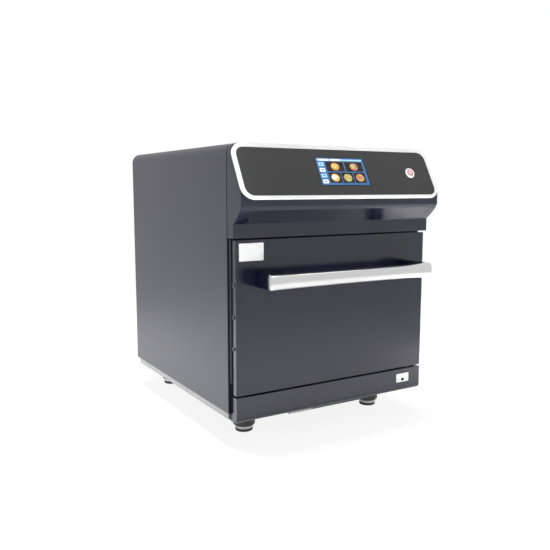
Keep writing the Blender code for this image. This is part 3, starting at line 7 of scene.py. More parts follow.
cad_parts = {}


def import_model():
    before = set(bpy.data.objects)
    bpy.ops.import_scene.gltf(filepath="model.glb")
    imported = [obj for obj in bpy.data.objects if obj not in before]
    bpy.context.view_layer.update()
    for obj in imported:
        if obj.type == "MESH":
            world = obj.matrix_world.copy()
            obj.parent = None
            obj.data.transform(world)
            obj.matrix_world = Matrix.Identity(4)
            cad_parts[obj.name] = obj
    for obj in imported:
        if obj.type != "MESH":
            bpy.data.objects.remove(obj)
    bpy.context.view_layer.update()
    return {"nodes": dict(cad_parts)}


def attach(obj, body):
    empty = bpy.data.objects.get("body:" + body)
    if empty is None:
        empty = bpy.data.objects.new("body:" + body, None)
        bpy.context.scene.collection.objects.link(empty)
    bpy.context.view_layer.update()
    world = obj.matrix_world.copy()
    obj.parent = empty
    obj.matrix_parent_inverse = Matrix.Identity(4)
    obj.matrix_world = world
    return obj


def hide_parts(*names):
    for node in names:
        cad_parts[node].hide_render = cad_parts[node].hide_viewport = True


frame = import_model()

MM = 0.001
BOX_PLACES = 5


def box(name):
    """A node's lowest and highest corner, to a hundredth of a millimetre."""
    axes = list(zip(*frame["nodes"][name].bound_box))
    return [[round(end(values), BOX_PLACES) for values in axes] for end in (min, max)]


def in_mm(*pairs):
    return [(first * MM, second * MM) for first, second in pairs]


# Sizes and places read from the solids
cover_low, cover_high = box("outer_cover")
housing_low = box("control_housing")[0]
door_low, door_high = box("door_shell")
bar_low, bar_high = box("handle_bar")
half_width = cover_high[0]
front_y = cover_low[1]
cover_base = cover_low[2]
cover_top = cover_high[2]
nose_reach = front_y - housing_low[1]
slope_height = cover_top - cover_base

# Sizes that the solids have, up from the cover's base or out from its front
nose_top = 443.3 * MM
slope_reach = 7 * MM
lean = math.atan2(nose_reach - slope_reach, slope_height - nose_top)

# Places on the sloped panel: across and up from the foot of the slope, and the height above it
screen_face = 4 * MM
screen_low = Vector((-60.5 * MM, 16.5 * MM))
screen_high = Vector((60.5 * MM, 79.5 * MM))
button_place = Vector((182.6 * MM, 46.4 * MM))


def panel_matrix():
    turn = Matrix.Rotation(math.radians(90) - lean, 4, "X")
    return Matrix.Translation((0, front_y - nose_reach, cover_base + nose_top)) @ turn


# Materials

EVEN = (1, 1, 1)
DRIFT_SCALE = 7
DRIFT_DETAIL = 4
GRAIN_DETAIL = 2
GRAIN_DEPTH = 0.2 * MM
LEAST_ROUGHNESS = 0.02


def new_material(name):
    material = bpy.data.materials.new(name)
    material.use_nodes = True
    shader = material.node_tree.nodes["Principled BSDF"]
    return material, material.node_tree, shader


def coordinates(tree, scale):
    place = tree.nodes.new("ShaderNodeTexCoord")
    mapping = tree.nodes.new("ShaderNodeMapping")
    mapping.inputs["Scale"].default_value = scale
    tree.links.new(place.outputs["Object"], mapping.inputs["Vector"])
    return mapping.outputs["Vector"]


def noise(tree, vector, scale, detail=3.0, roughness=0.5):
    node = tree.nodes.new("ShaderNodeTexNoise")
    node.inputs["Scale"].default_value = scale
    node.inputs["Detail"].default_value = detail
    node.inputs["Roughness"].default_value = roughness
    tree.links.new(vector, node.inputs["Vector"])
    return node.outputs["Fac"]


def spread(tree, value, low, high, from_low=0.3, from_high=0.7):
    node = tree.nodes.new("ShaderNodeMapRange")
    node.inputs["From Min"].default_value = from_low
    node.inputs["From Max"].default_value = from_high
    node.inputs["To Min"].default_value = low
    node.inputs["To Max"].default_value = high
    tree.links.new(value, node.inputs["Value"])
    return node.outputs["Result"]


def between(tree, value, first, second):
    node = tree.nodes.new("ShaderNodeMix")
    node.data_type = "RGBA"
    node.inputs[6].default_value = (*first, 1)
    node.inputs[7].default_value = (*second, 1)
    tree.links.new(value, node.inputs[0])
    return node.outputs[2]


def bump(tree, shader, height, strength, distance):
    node = tree.nodes.new("ShaderNodeBump")
    node.inputs["Strength"].default_value = strength
    node.inputs["Distance"].default_value = distance
    tree.links.new(height, node.inputs["Height"])
    tree.links.new(node.outputs["Normal"], shader.inputs["Normal"])


def scaled(colour, share):
    return tuple(min(1, channel * share) for channel in colour)


def textured(name, colour, roughness, grain, relief, tone, rough_spread=0.05, metallic=0.0,
             stretch=EVEN, level=0.5):
    """A surface with fine grain in its relief and slow drift in its colour and roughness."""
    material, tree, shader = new_material(name)
    shader.inputs["Metallic"].default_value = metallic
    shader.inputs["Specular IOR Level"].default_value = level
    slow = noise(tree, coordinates(tree, EVEN), DRIFT_SCALE, DRIFT_DETAIL)
    fine = noise(tree, coordinates(tree, stretch), grain, GRAIN_DETAIL)
    mixed = between(tree, spread(tree, slow, 0, 1), scaled(colour, 1 - tone), scaled(colour, 1 + tone))
    tree.links.new(mixed, shader.inputs["Base Color"])
    low = max(roughness - rough_spread, LEAST_ROUGHNESS)
    tree.links.new(spread(tree, fine, low, roughness + rough_spread), shader.inputs["Roughness"])
    bump(tree, shader, fine, relief, GRAIN_DEPTH)
    return material


def slate(name, colour, roughness, level, relief=0.02, rough_spread=0.03):
    """The oven's paint, in the gloss of one panel."""
    return textured(name, colour, roughness=roughness, grain=1500, relief=relief, tone=0.04,
                    rough_spread=rough_spread, level=level)


def steel(name, colour, roughness, grain, relief, tone, rough_spread, stretch=EVEN):
    return textured(name, colour, roughness=roughness, grain=grain, relief=relief, tone=tone,
                    rough_spread=rough_spread, metallic=1.0, stretch=stretch)


FIBRE_DETAIL = 6
FIBRE_ROUGHNESS = 0.7
FIBRE_RELIEF = 0.8
FIBRE_DEPTH = 2 * MM
FIBRE_SHADE = 0.75
FIBRE_LIGHT = 1.15


def weave(name, colour, roughness, scale):
    material, tree, shader = new_material(name)
    fibres = noise(tree, coordinates(tree, EVEN), scale, FIBRE_DETAIL, FIBRE_ROUGHNESS)
    mixed = between(tree, spread(tree, fibres, 0, 1), scaled(colour, FIBRE_SHADE),
                    scaled(colour, FIBRE_LIGHT))
    tree.links.new(mixed, shader.inputs["Base Color"])
    shader.inputs["Roughness"].default_value = roughness
    bump(tree, shader, fibres, FIBRE_RELIEF, FIBRE_DEPTH)
    return material


LIT_ROUGHNESS = 0.4
LIT_LEVEL = 0.15
LIT_DETAIL = 3
LIT_TONE = 1.12


def lit(name, colour, strength, second=None, scale=60):
    """A lit patch of the display, or a part of the push button that glows as painted light, with a slow
    change between two colours.
    """
    material, tree, shader = new_material(name)
    drift = noise(tree, coordinates(tree, EVEN), scale, LIT_DETAIL)
    mixed = between(tree, spread(tree, drift, 0, 1), colour, second or scaled(colour, LIT_TONE))
    tree.links.new(mixed, shader.inputs["Base Color"])
    tree.links.new(mixed, shader.inputs["Emission Color"])
    shader.inputs["Emission Strength"].default_value = strength
    shader.inputs["Roughness"].default_value = LIT_ROUGHNESS
    shader.inputs["Specular IOR Level"].default_value = LIT_LEVEL
    return material


PAINT = (0.0158, 0.0161, 0.0286)
DOOR_PAINT = (0.0075, 0.0075, 0.0195)
# Darker paint for the hollow under the nose: painted shade where the nose, door and handle shade it.
SCOOP_PAINTED_SHADE = (0.0074, 0.0074, 0.0168)
ALONG_X = (0.03, 1, 1)
ALONG_Y = (1, 0.03, 1)
ALONG_Z = (1, 1, 0.04)
WINDING = (1, 0.05, 1)

paint = slate("slate_paint", PAINT, roughness=0.42, level=0.52, relief=0.03)
housing_paint = slate("housing_paint", PAINT, roughness=0.2, level=0.29)
scoop_painted_shade = slate("scoop_painted_shade", SCOOP_PAINTED_SHADE, roughness=0.18, level=0.265)
door_paint = slate("door_paint", DOOR_PAINT, roughness=0.18, level=0.51, rough_spread=0.02)
lower_paint = slate("lower_paint", PAINT, roughness=0.24, level=0.53, relief=0.03)

bright = steel("brushed_bright_steel", (0.6, 0.6, 0.6), roughness=0.2, grain=500, relief=0.04,
               tone=0.02, rough_spread=0.06, stretch=ALONG_X)
strip_steel = steel("strip_steel", (0.27, 0.27, 0.275), roughness=0.34, grain=500, relief=0.05,
                    tone=0.03, rough_spread=0.06, stretch=ALONG_Y)
sheet_steel = steel("sheet_steel", (0.5, 0.5, 0.51), roughness=0.38, grain=420, relief=0.06,
                    tone=0.06, rough_spread=0.08, stretch=ALONG_Z)
dull_steel = steel("dull_steel", (0.36, 0.36, 0.37), roughness=0.5, grain=300, relief=0.08,
                   tone=0.12, rough_spread=0.1)
chrome = steel("chrome", (0.82, 0.82, 0.82), roughness=0.12, grain=200, relief=0.02, tone=0.02,
               rough_spread=0.04)
copper = textured("wound_copper", (0.55, 0.27, 0.13), roughness=0.4, grain=700, relief=0.3,
                  tone=0.12, metallic=0.9, stretch=WINDING)

white_plate = textured("white_plate", (0.93, 0.93, 0.93), roughness=0.45, grain=900, relief=0.04,
                       tone=0.015, rough_spread=0.06)
frame_gloss = textured("frame_gloss", (0.93, 0.93, 0.93), roughness=0.3, grain=700, relief=0.02,
                       tone=0.01, rough_spread=0.04)
smoked_glass = textured("smoked_glass", (0.029, 0.029, 0.029), roughness=0.42, grain=1800,
                        relief=0.02, tone=0.03, rough_spread=0.03, level=0.35)
screen_edge = textured("screen_edge", (0.01, 0.012, 0.02), roughness=0.3, grain=900, relief=0.02,
                       tone=0.05, rough_spread=0.04, level=0.3)
screen_shadow = textured("screen_shadow", (0.006, 0.012, 0.035), roughness=0.5, grain=900,
                         relief=0.02, tone=0.05, rough_spread=0.04, level=0.2)

black_plastic = textured("black_plastic", (0.0035, 0.0032, 0.013), roughness=0.5, grain=1600,
                         relief=0.12, tone=0.1, rough_spread=0.08, level=0.1)
foot_plastic = textured("foot_plastic", (0.042, 0.042, 0.04), roughness=0.35, grain=1600,
                        relief=0.1, tone=0.08, rough_spread=0.08)
plug_plastic = textured("plug_plastic", (0.006, 0.006, 0.007), roughness=0.8, grain=900,
                        relief=0.1, tone=0.1, rough_spread=0.08, level=0.15)
# Light grey strips in the gaps beside the door: painted light, standing in for the light on an edge
# there.
gap_strip_painted_light = textured("gap_strip_painted_light", (0.075, 0.073, 0.09), roughness=0.6, grain=900, relief=0.1,
                     tone=0.08, level=0.3)
gasket_rubber = textured("gasket_rubber", (0.02, 0.02, 0.02), roughness=0.7, grain=800,
                         relief=0.2, tone=0.1, rough_spread=0.1)
# Near-black front frame behind the door: painted shade that darkens the gaps round the door.
front_frame_painted_shade = textured("front_frame_painted_shade", (0.007, 0.006, 0.02), roughness=0.5, grain=1200,
                       relief=0.05, tone=0.08, level=0.3)
screw_paint = textured("screw_paint", (0.035, 0.035, 0.05), roughness=0.4, grain=900, relief=0.06,
                       tone=0.08, rough_spread=0.06)
# Pale rim on the door's edge screws: painted highlight round each screw head.
screw_rim_painted_highlight = textured("screw_rim_painted_highlight", (0.09, 0.09, 0.1), roughness=0.35, grain=900, relief=0.06,
                     tone=0.08, rough_spread=0.06)

fibre = weave("fibre_blanket", (0.72, 0.7, 0.64), roughness=0.95, scale=260)
honeycomb = textured("honeycomb", (0.36, 0.32, 0.27), roughness=0.85, grain=500, relief=0.3,
                     tone=0.15)
board_green = textured("board_green", (0.02, 0.13, 0.05), roughness=0.45, grain=600, relief=0.1,
                       tone=0.15)

screen_glass = lit("screen_blue", (0.045, 0.13, 0.31), 0.35, (0.06, 0.17, 0.38), 20)
tile_white = lit("screen_white", (0.72, 0.78, 0.85), 0.5)
tile_pale = lit("screen_pale_blue", (0.33, 0.55, 0.78), 0.5)
tile_warm = lit("screen_amber", (0.62, 0.36, 0.08), 0.4, (0.75, 0.6, 0.2), 240)
tile_gold = lit("screen_gold", (0.7, 0.5, 0.16), 0.4, (0.35, 0.14, 0.04), 320)
tile_red = lit("screen_red", (0.36, 0.07, 0.05), 0.35, (0.6, 0.3, 0.2), 280)
tile_green = lit("screen_green", (0.2, 0.3, 0.06), 0.35, (0.7, 0.6, 0.3), 300)
tile_dark = lit("screen_dark", (0.008, 0.006, 0.006), 0.2, (0.05, 0.03, 0.02), 200)
# The push button's collar, cap and symbol glow a little though they hold no lamp: painted light.
ring_white_painted_glow = lit("ring_white_painted_glow", (0.93, 0.91, 0.91), 0.2, (0.97, 0.95, 0.95), 90)
button_rose = lit("button_rose", (0.8, 0.58, 0.58), 0.06, (0.84, 0.62, 0.62), 90)
button_red_painted_glow = lit("button_red_painted_glow", (0.5, 0.16, 0.17), 0.03)
button_mark_painted_glow = lit("button_mark_painted_glow", (0.86, 0.74, 0.74), 0.06)


TWO_TONE_RELIEF = 0.1


def two_toned(tree, shader, axis, edge, grain, first, second):
    """Two pairs of colours that meet at an edge along an axis; returns the second pair's share."""
    place = tree.nodes.new("ShaderNodeTexCoord")
    split = tree.nodes.new("ShaderNodeSeparateXYZ")
    tree.links.new(place.outputs["Object"], split.inputs[0])
    share = spread(tree, split.outputs[axis], 0, 1, *edge)
    fine = noise(tree, coordinates(tree, EVEN), grain)
    mix = tree.nodes.new("ShaderNodeMix")
    mix.data_type = "RGBA"
    tree.links.new(share, mix.inputs[0])
    tree.links.new(between(tree, spread(tree, fine, 0, 1), *first), mix.inputs[6])
    tree.links.new(between(tree, spread(tree, fine, 0, 1), *second), mix.inputs[7])
    tree.links.new(mix.outputs[2], shader.inputs["Base Color"])
    bump(tree, shader, fine, TWO_TONE_RELIEF, GRAIN_DEPTH)
    return share


sole_top = 6 * MM
sole_blend = 0.1 * MM
SOLE_ROUGHNESS = 0.65
SHANK_ROUGHNESS = 0.2
SHANK_METALLIC = 0.1
FILTER_ROUGHNESS = 0.5


def shank_and_sole():
    """Bright steel above the sole's top and dark rubber below it."""
    material, tree, shader = new_material("shank_and_sole")
    rubber = (0.04, 0.04, 0.04), (0.06, 0.06, 0.06)
    shank = (0.9, 0.9, 0.9), (0.95, 0.95, 0.95)
    edge = sole_top - sole_blend, sole_top + sole_blend
    above = two_toned(tree, shader, "Z", edge, grain=900, first=rubber, second=shank)
    tree.links.new(spread(tree, above, 0, SHANK_METALLIC, 0, 1), shader.inputs["Metallic"])
    roughness = spread(tree, above, SOLE_ROUGHNESS, SHANK_ROUGHNESS, 0, 1)
    tree.links.new(roughness, shader.inputs["Roughness"])
    return material


tab_face = box("air_filter")[0][1]
tab_edge = tab_face + 0.6 * MM, tab_face + 0.9 * MM


def filter_steel():
    """Bright on the pull tab, dark on the filter behind it."""
    material, tree, shader = new_material("filter_steel")
    tab = (0.42, 0.42, 0.42), (0.5, 0.5, 0.5)
    rest = (0.03, 0.03, 0.035), (0.05, 0.05, 0.055)
    two_toned(tree, shader, "Y", tab_edge, grain=500, first=tab, second=rest)
    shader.inputs["Roughness"].default_value = FILTER_ROUGHNESS
    return material


node_materials = {
    "outer_cover": paint, "control_housing": paint, "door_shell": door_paint,
    "lower_panel": lower_paint, "base_chassis": strip_steel, "rear_panel": sheet_steel,
    "inlet_gland": black_plastic, "front_frame": front_frame_painted_shade, "cavity": sheet_steel,
    "jet_plate": sheet_steel, "rack": chrome, "waveguide": sheet_steel, "magnetron": dull_steel,
    "fan_motor": dull_steel, "convection_fan": sheet_steel, "fan_shaft": chrome,
    "heater": dull_steel, "catalyst": honeycomb, "insulation": fibre, "transformer": copper,
    "control_board": board_green, "cooling_fan_frame": black_plastic,
    "cooling_fan_rotor": black_plastic, "bezel_frame": frame_gloss, "glass_panel": smoked_glass,
    "touch_screen": screen_edge, "button_ring": ring_white_painted_glow, "power_button": button_rose,
    "door_inner_panel": sheet_steel, "door_gasket": gasket_rubber, "badge_plate": white_plate,
    "port_plate": white_plate, "port_plug": plug_plastic, "handle_bar": bright,
    "handle_bracket_left": black_plastic, "handle_bracket_right": black_plastic,
    "air_filter": filter_steel(),
}
node_prefixes = {
    "foot_body": foot_plastic, "foot_adjuster": shank_and_sole(), "hinge": dull_steel,
    "handle_screw": sheet_steel, "door_side_screw": screw_paint, "rack_runner": sheet_steel,
}


def dress_nodes():
    for name, node in frame["nodes"].items():
        material = node_materials.get(name)
        for prefix, choice in node_prefixes.items():
            if name.startswith(prefix):
                material = choice
        if not node.material_slots:
            node.data.materials.append(material)
        for slot in node.material_slots:
            slot.material = material


# Mesh helpers

SMOOTH_ANGLE = 32
PLAIN_EDGE_ANGLE = 35


def piece(name, points, faces, material, body):
    mesh = bpy.data.meshes.new(name)
    mesh.from_pydata([tuple(point) for point in points], [], faces)
    work = bmesh.new()
    work.from_mesh(mesh)
    bmesh.ops.recalc_face_normals(work, faces=work.faces)
    work.to_mesh(mesh)
    work.free()
    mesh.shade_smooth()
    mesh.set_sharp_from_angle(angle=math.radians(SMOOTH_ANGLE))
    thing = bpy.data.objects.new(name, mesh)
    bpy.context.scene.collection.objects.link(thing)
    thing.data.materials.append(material)
    if body:
        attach(thing, body)
    return thing


def loft(rings, closed=False):
    """Joins rings of equally many points; an open loft gets end faces."""
    count = len(rings[0])
    points = [point for ring in rings for point in ring]
    faces = []
    for ring in range(len(rings) if closed else len(rings) - 1):
        low = ring * count
        high = ((ring + 1) % len(rings)) * count
        for index in range(count):
            following = (index + 1) % count
            faces.append((low + index, low + following, high + following, high + index))
    if not closed:
        faces.append(tuple(range(count)))
        faces.append(tuple(range(len(points) - count, len(points))))
    return points, faces


def turned(profile, segments, matrix, ring_shaped=False):
    """Turns a profile of radius and height about the axis; ring_shaped joins its two ends."""
    rows = []
    points = []
    for radius, height in profile:
        if radius == 0:
            rows.append([len(points)] * segments)
            points.append(Vector((0, 0, height)))
        else:
            rows.append(list(range(len(points), len(points) + segments)))
            for step in range(segments):
                angle = 2 * math.pi * step / segments
                points.append(Vector((radius * math.cos(angle), radius * math.sin(angle), height)))
    pairs = list(zip(rows, rows[1:]))
    if ring_shaped:
        pairs.append((rows[-1], rows[0]))
    faces = []
    for low, high in pairs:
        for step in range(segments):
            following = (step + 1) % segments
            corners = tuple(dict.fromkeys((low[step], low[following], high[following], high[step])))
            if len(corners) > 2:
                faces.append(corners)
    return [matrix @ point for point in points], faces


def rounded(low, high, radius, steps):
    """A rectangle's outline with rounded corners."""
    corners = ((high[0] - radius, low[1] + radius, -90), (high[0] - radius, high[1] - radius, 0),
               (low[0] + radius, high[1] - radius, 90), (low[0] + radius, low[1] + radius, 180))
    outline = []
    for across, up, start in corners:
        for step in range(steps + 1):
            angle = math.radians(start + 90 * step / steps)
            outline.append((across + radius * math.cos(angle), up + radius * math.sin(angle)))
    return outline


def plate_on_panel(name, outline, low, high, material):
    """A thin plate on the sloped panel."""
    points, faces = loft([[(x, y, height) for x, y in outline] for height in (low, high)])
    matrix = panel_matrix()
    piece(name, [matrix @ Vector(point) for point in points], faces, material, "body")


def ease_edges(thing, width, segments=2, angle=PLAIN_EDGE_ANGLE):
    ease = thing.modifiers.new("eased_edges", "BEVEL")
    ease.width = width
    ease.segments = segments
    ease.limit_method = "ANGLE"
    ease.angle_limit = math.radians(angle)
    ease.harden_normals = True


def middle_of(name):
    low, high = box(name)
    return [(first + second) / 2 for first, second in zip(low, high)]


# Housing, in finer steps than the solid, with its heights up from the cover's base

band_base = housing_low[2] - cover_base
band_top = 384.5 * MM
band_reach = 27.4 * MM
nose_base = 419.5 * MM
pull_reach_share = 0.9
pull_height_share = 0.62
scoop_depth = 0.2 * MM
scoop_pocket = 1.5 * MM
scoop_corner = 33 * MM
scoop_corner_powers = ((-1, 1.7), (1, 2.4))
scoop_share = 0.7
least_share = 0.02
scoop_steps = 28
scoop_end_steps = 24
lip_steps = 10
band_face = 1
edge_radius = 22 * MM
edge_steps = 24
housing_back = 2.6 * MM
housing_overrun = 10 * MM
housing_smooth_angle = 24
housing_ease = 1.2 * MM
housing_ease_segments = 3
housing_ease_angle = 28
scoop_slot = 1
band_slot = 2


def undercut(share):
    """A point of the curve from the band's top to the nose."""
    low = Vector((band_reach, band_top))
    high = Vector((nose_reach, nose_base))
    pull = Vector((low[0] + (high[0] - low[0]) * pull_reach_share,
                   low[1] + (high[1] - low[1]) * pull_height_share))
    return low * (1 - share) ** 2 + pull * 2 * share * (1 - share) + high * share ** 2


def housing_section(share, pocket):
    """Reach and height round the housing; share says how far up the hollow reaches here."""
    depth = scoop_depth + 4 * pocket * share * (1 - share)
    section = [(housing_back, band_base), (band_reach, band_base)]
    edge = scoop_share * share
    low, high = undercut(0), undercut(edge)
    chord = high - low
    inward = Vector((-chord[1], chord[0])).normalized()
    for step in range(scoop_steps + 1):
        along = step / scoop_steps
        hollow = low.lerp(high, along) + inward * depth * math.sin(math.pi * along)
        section.append(tuple(hollow))
    for step in range(1, lip_steps + 1):
        section.append(tuple(undercut(edge + (1 - edge) * step / lip_steps)))
    section += [(nose_reach, nose_top), (slope_reach, slope_height), (housing_back, slope_height)]
    return section


def housing_stations():
    """Places across the housing, each with the hollow's share, which shrinks toward both ends."""
    ends = {}
    for side, power in scoop_corner_powers:
        ends[side] = []
        for step in range(scoop_end_steps + 1):
            along = step / scoop_end_steps
            share = max(1 - (1 - along) ** power, least_share)
            ends[side].append((side * (half_width - scoop_corner * along), share))
    return ends[-1] + ends[1][::-1]


def housing_bound():
    """A block with rounded upper corners that trims the housing's ends."""
    base = cover_base + band_base - housing_overrun
    outline = [(-half_width, base)]
    for start, middle in ((180, edge_radius - half_width), (90, half_width - edge_radius)):
        for step in range(edge_steps + 1):
            angle = math.radians(start - 90 * step / edge_steps)
            outline.append((middle + edge_radius * math.cos(angle),
                            cover_top - edge_radius + edge_radius * math.sin(angle)))
    outline.append((half_width, base))
    ends = (front_y - nose_reach - housing_overrun, front_y)
    points, faces = loft([[(x, y, z) for x, z in outline] for y in ends])
    return piece("housing_bound", points, faces, paint, None)


def trim_housing(skin):
    cutter = housing_bound()
    modifier = skin.modifiers.new("ends", "BOOLEAN")
    modifier.operation = "INTERSECT"
    modifier.solver = "EXACT"
    modifier.object = cutter
    depsgraph = bpy.context.evaluated_depsgraph_get()
    mesh = bpy.data.meshes.new_from_object(skin.evaluated_get(depsgraph))
    skin.modifiers.clear()
    skin.data = mesh
    bpy.data.objects.remove(cutter, do_unlink=True)
    mesh.shade_smooth()
    mesh.set_sharp_from_angle(angle=math.radians(housing_smooth_angle))


def housing_skin():
    rings = []
    for x, share in housing_stations():
        section = housing_section(share, scoop_pocket if x < 0 else 0)
        rings.append([(x, front_y - reach, cover_base + height) for reach, height in section])
    points, faces = loft(rings)
    skin = piece("housing_skin", points, faces, housing_paint, None)
    # The hollow's faces take the darker paint, as painted shade.
    skin.data.materials.append(scoop_painted_shade)
    skin.data.materials.append(door_paint)
    around = len(rings[0])
    for face in skin.data.polygons[:around * (len(rings) - 1)]:
        place_on_section = face.index % around
        if place_on_section == band_face:
            face.material_index = band_slot
        elif band_face < place_on_section <= band_face + scoop_steps:
            face.material_index = scoop_slot
    trim_housing(skin)
    ease_edges(skin, housing_ease, housing_ease_segments, housing_ease_angle)
    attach(skin, "body")
    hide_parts("control_housing")


# Handle, taller toward both ends, with a ridge along its middle

bar_height = 28.3 * MM
bar_depth = bar_high[1] - bar_low[1]
bar_middle_y = bar_low[1] + bar_depth / 2
bar_middle_z = (bar_low[2] + bar_high[2]) / 2
bar_squareness = 0.85
bar_rear_squareness = 0.55
bar_ridge_rise = 2 * MM
bar_round_steps = 72
bar_length_steps = 12
# Side, half length, height at the end, length over which the height settles
bar_halves = ((-1, 205.5 * MM, 30.8 * MM, 220 * MM), (1, 203 * MM, 33.8 * MM, 80 * MM))
# Distance from the end face, share of the full section
bar_end_ease = ((0, 0.3), (0.2 * MM, 0.62), (0.7 * MM, 0.84), (1.3 * MM, 0.93), (2.2 * MM, 0.98),
                (3.4 * MM, 1.0))


def bar_stations():
    """Places along the bar, each with its height and depth."""
    stations = []
    eased_length = bar_end_ease[-1][0]
    for side, half, end_height, flare in bar_halves:
        places = [(side * (half - inset), end_height * share, bar_depth * share)
                  for inset, share in bar_end_ease]
        for step in range(1, bar_length_steps + 1):
            along = step / bar_length_steps
            height = end_height + (bar_height - end_height) * (2 - along) * along
            places.append((side * (half - eased_length - flare * along), height, bar_depth))
        stations += places if side < 0 else places[::-1]
    return stations


def handle_skin():
    rings = []
    for x, height, depth in bar_stations():
        ring = []
        ridge = bar_ridge_rise * height / bar_height
        for step in range(bar_round_steps):
            angle = 2 * math.pi * step / bar_round_steps
            across, up = math.cos(angle), math.sin(angle)
            squareness = bar_squareness if across < 0 else bar_rear_squareness
            across = math.copysign(abs(across) ** squareness, across)
            up = math.copysign(abs(up) ** squareness, up)
            reach = height / 2 - math.copysign(ridge, up)
            ring.append((x, bar_middle_y + depth / 2 * across, bar_middle_z + ridge + reach * up))
        rings.append(ring)
    points, faces = loft(rings)
    bar = piece("handle_bar_skin", points, faces, bright, "door")
    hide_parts("handle_bar")


# White frame of the sloped panel, out to the housing's own side edges

frame_low = (-249.3 * MM, -13.5 * MM)
frame_high = (249.3 * MM, 108.9 * MM)
window_low = (-241 * MM, -7 * MM)
window_high = (241 * MM, 99.5 * MM)
frame_radius = 27 * MM
window_radius = 19 * MM
frame_corner_steps = 14
frame_foot = 0.3 * MM
frame_face = 4.6 * MM
# Inset and height up the frame's outer rim
frame_rim = ((0, frame_foot), (0, 3.6 * MM), (0.3 * MM, 4.2 * MM), (0.9 * MM, frame_face))


def frame_skin():
    rings = []
    for inset, height in frame_rim:
        low = [value + inset for value in frame_low]
        high = [value - inset for value in frame_high]
        outline = rounded(low, high, frame_radius - inset, frame_corner_steps)
        rings.append([(x, y, height) for x, y in outline])
    for height in (frame_face, frame_foot):
        outline = rounded(window_low, window_high, window_radius, frame_corner_steps)
        rings.append([(x, y, height) for x, y in outline])
    points, faces = loft(rings, closed=True)
    matrix = panel_matrix()
    skin = piece("frame_skin", [matrix @ Vector(point) for point in points], faces, frame_gloss, "body")
    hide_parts("bezel_frame")


# Feet, with a rounded lower edge over the shank's bright band

foot_round = 5.5 * MM
foot_round_height = 17.3 * MM
foot_round_turn = 70
foot_round_steps = 8
foot_bore = 18.3 * MM
foot_lip_height = 12.1 * MM
foot_bore_top = 40 * MM
foot_segments = 72


def foot_skins():
    for name in sorted(node for node in frame["nodes"] if node.startswith("foot_body")):
        low, high = box(name)
        radius = (high[0] - low[0]) / 2
        profile = [(0, high[2]), (radius, high[2])]
        for step in range(foot_round_steps + 1):
            angle = math.radians(foot_round_turn * step / foot_round_steps)
            profile.append((radius - foot_round + foot_round * math.cos(angle),
                            foot_round_height - foot_round * math.sin(angle)))
        profile += [(foot_bore, foot_lip_height), (foot_bore, foot_bore_top), (0, foot_bore_top)]
        place = middle_of(name)
        place[2] = 0
        points, faces = turned(profile, foot_segments, Matrix.Translation(place))
        body = piece(name + "_skin", points, faces, foot_plastic, "body")
        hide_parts(name)


# Display picture, made of thin tiles in shares of the screen's width and height

tile_foot = screen_face + 0.02 * MM
tile_radius = 0.8 * MM
tile_corner_steps = 4
ground_radius = 0.6 * MM
heading_radius = 0.4 * MM
mark_radius = 0.3 * MM
ground_rise = 0.04 * MM
heading_rise = 0.06 * MM
tile_rise = 0.06 * MM
side_key_rise = 0.08 * MM
dish_rise = 0.09 * MM
key_rise = 0.1 * MM
mark_rise = 0.12 * MM
filling_rise = 0.12 * MM
screen_shadow_width = 1.4 * MM
screen_shadow_radius = 0.3 * MM
screen_shadow_rise = 0.06 * MM
screen_shadow_steps = 3
heading_shares = (0.03, 0.895, 0.97, 0.955)
key_shares = ((0.05, 0.89, 0.26, 0.965), (0.3, 0.89, 0.51, 0.965))
side_key_span_shares = (0.03, 0.14)
side_key_half_share = 0.07
side_mark_span_shares = (0.06, 0.11)
side_mark_half_share = 0.02
side_key_height_shares = ((0.76, tile_pale), (0.55, tile_white), (0.34, tile_pale),
                          (0.13, tile_white))
# Lower and upper edge of each row of tiles, and the left and right edges along it
row_shares = ((0.5, 0.86, ((0.18, 0.55), (0.58, 0.95))),
              (0.08, 0.46, ((0.18, 0.43), (0.45, 0.69), (0.71, 0.95))))
tile_fills = ((tile_gold, tile_warm), (tile_red, tile_green), (tile_warm, tile_white),
              (tile_green, tile_gold), (tile_gold, tile_red))
dish_radius = 9 * MM
dish_stretch = 1.15
dish_steps = 20
filling_radius = 5 * MM
filling_stretch = 1.3
filling_shift_share = 0.02


def on_screen(across, up):
    size = screen_high - screen_low
    return screen_low[0] + size[0] * across, screen_low[1] + size[1] * up


def screen_rect(name, left, bottom, right, top, material, rise, radius=tile_radius):
    outline = rounded(on_screen(left, bottom), on_screen(right, top), radius, tile_corner_steps)
    plate_on_panel(name, outline, tile_foot, screen_face + rise, material)


def screen_round(name, across, up, radius, stretch, material, rise):
    middle = on_screen(across, up)
    outline = []
    for step in range(dish_steps):
        angle = 2 * math.pi * step / dish_steps
        outline.append((middle[0] + radius * stretch * math.cos(angle),
                        middle[1] + radius * math.sin(angle)))
    plate_on_panel(name, outline, tile_foot, screen_face + rise, material)


def screen_keys():
    screen_rect("screen_ground", 0, 0, 1, 1, screen_glass, ground_rise, ground_radius)
    # A dark strip below the screen's lower edge: painted shadow.
    low, high = (screen_low[0], screen_low[1] - screen_shadow_width), (screen_high[0], screen_low[1])
    plate_on_panel("screen_shadow_strip", rounded(low, high, screen_shadow_radius, screen_shadow_steps),
                   tile_foot, screen_face + screen_shadow_rise, screen_shadow)
    screen_rect("screen_heading", *heading_shares, tile_pale, heading_rise, heading_radius)
    for number, shares in enumerate(key_shares, start=1):
        screen_rect("screen_key_%d" % number, *shares, tile_white, key_rise)
    for number, (up, material) in enumerate(side_key_height_shares, start=1):
        left, right = side_key_span_shares
        screen_rect("screen_side_key_%d" % number, left, up - side_key_half_share, right,
                    up + side_key_half_share, material, side_key_rise)
        left, right = side_mark_span_shares
        screen_rect("screen_side_mark_%d" % number, left, up - side_mark_half_share, right,
                    up + side_mark_half_share, screen_glass, mark_rise, mark_radius)


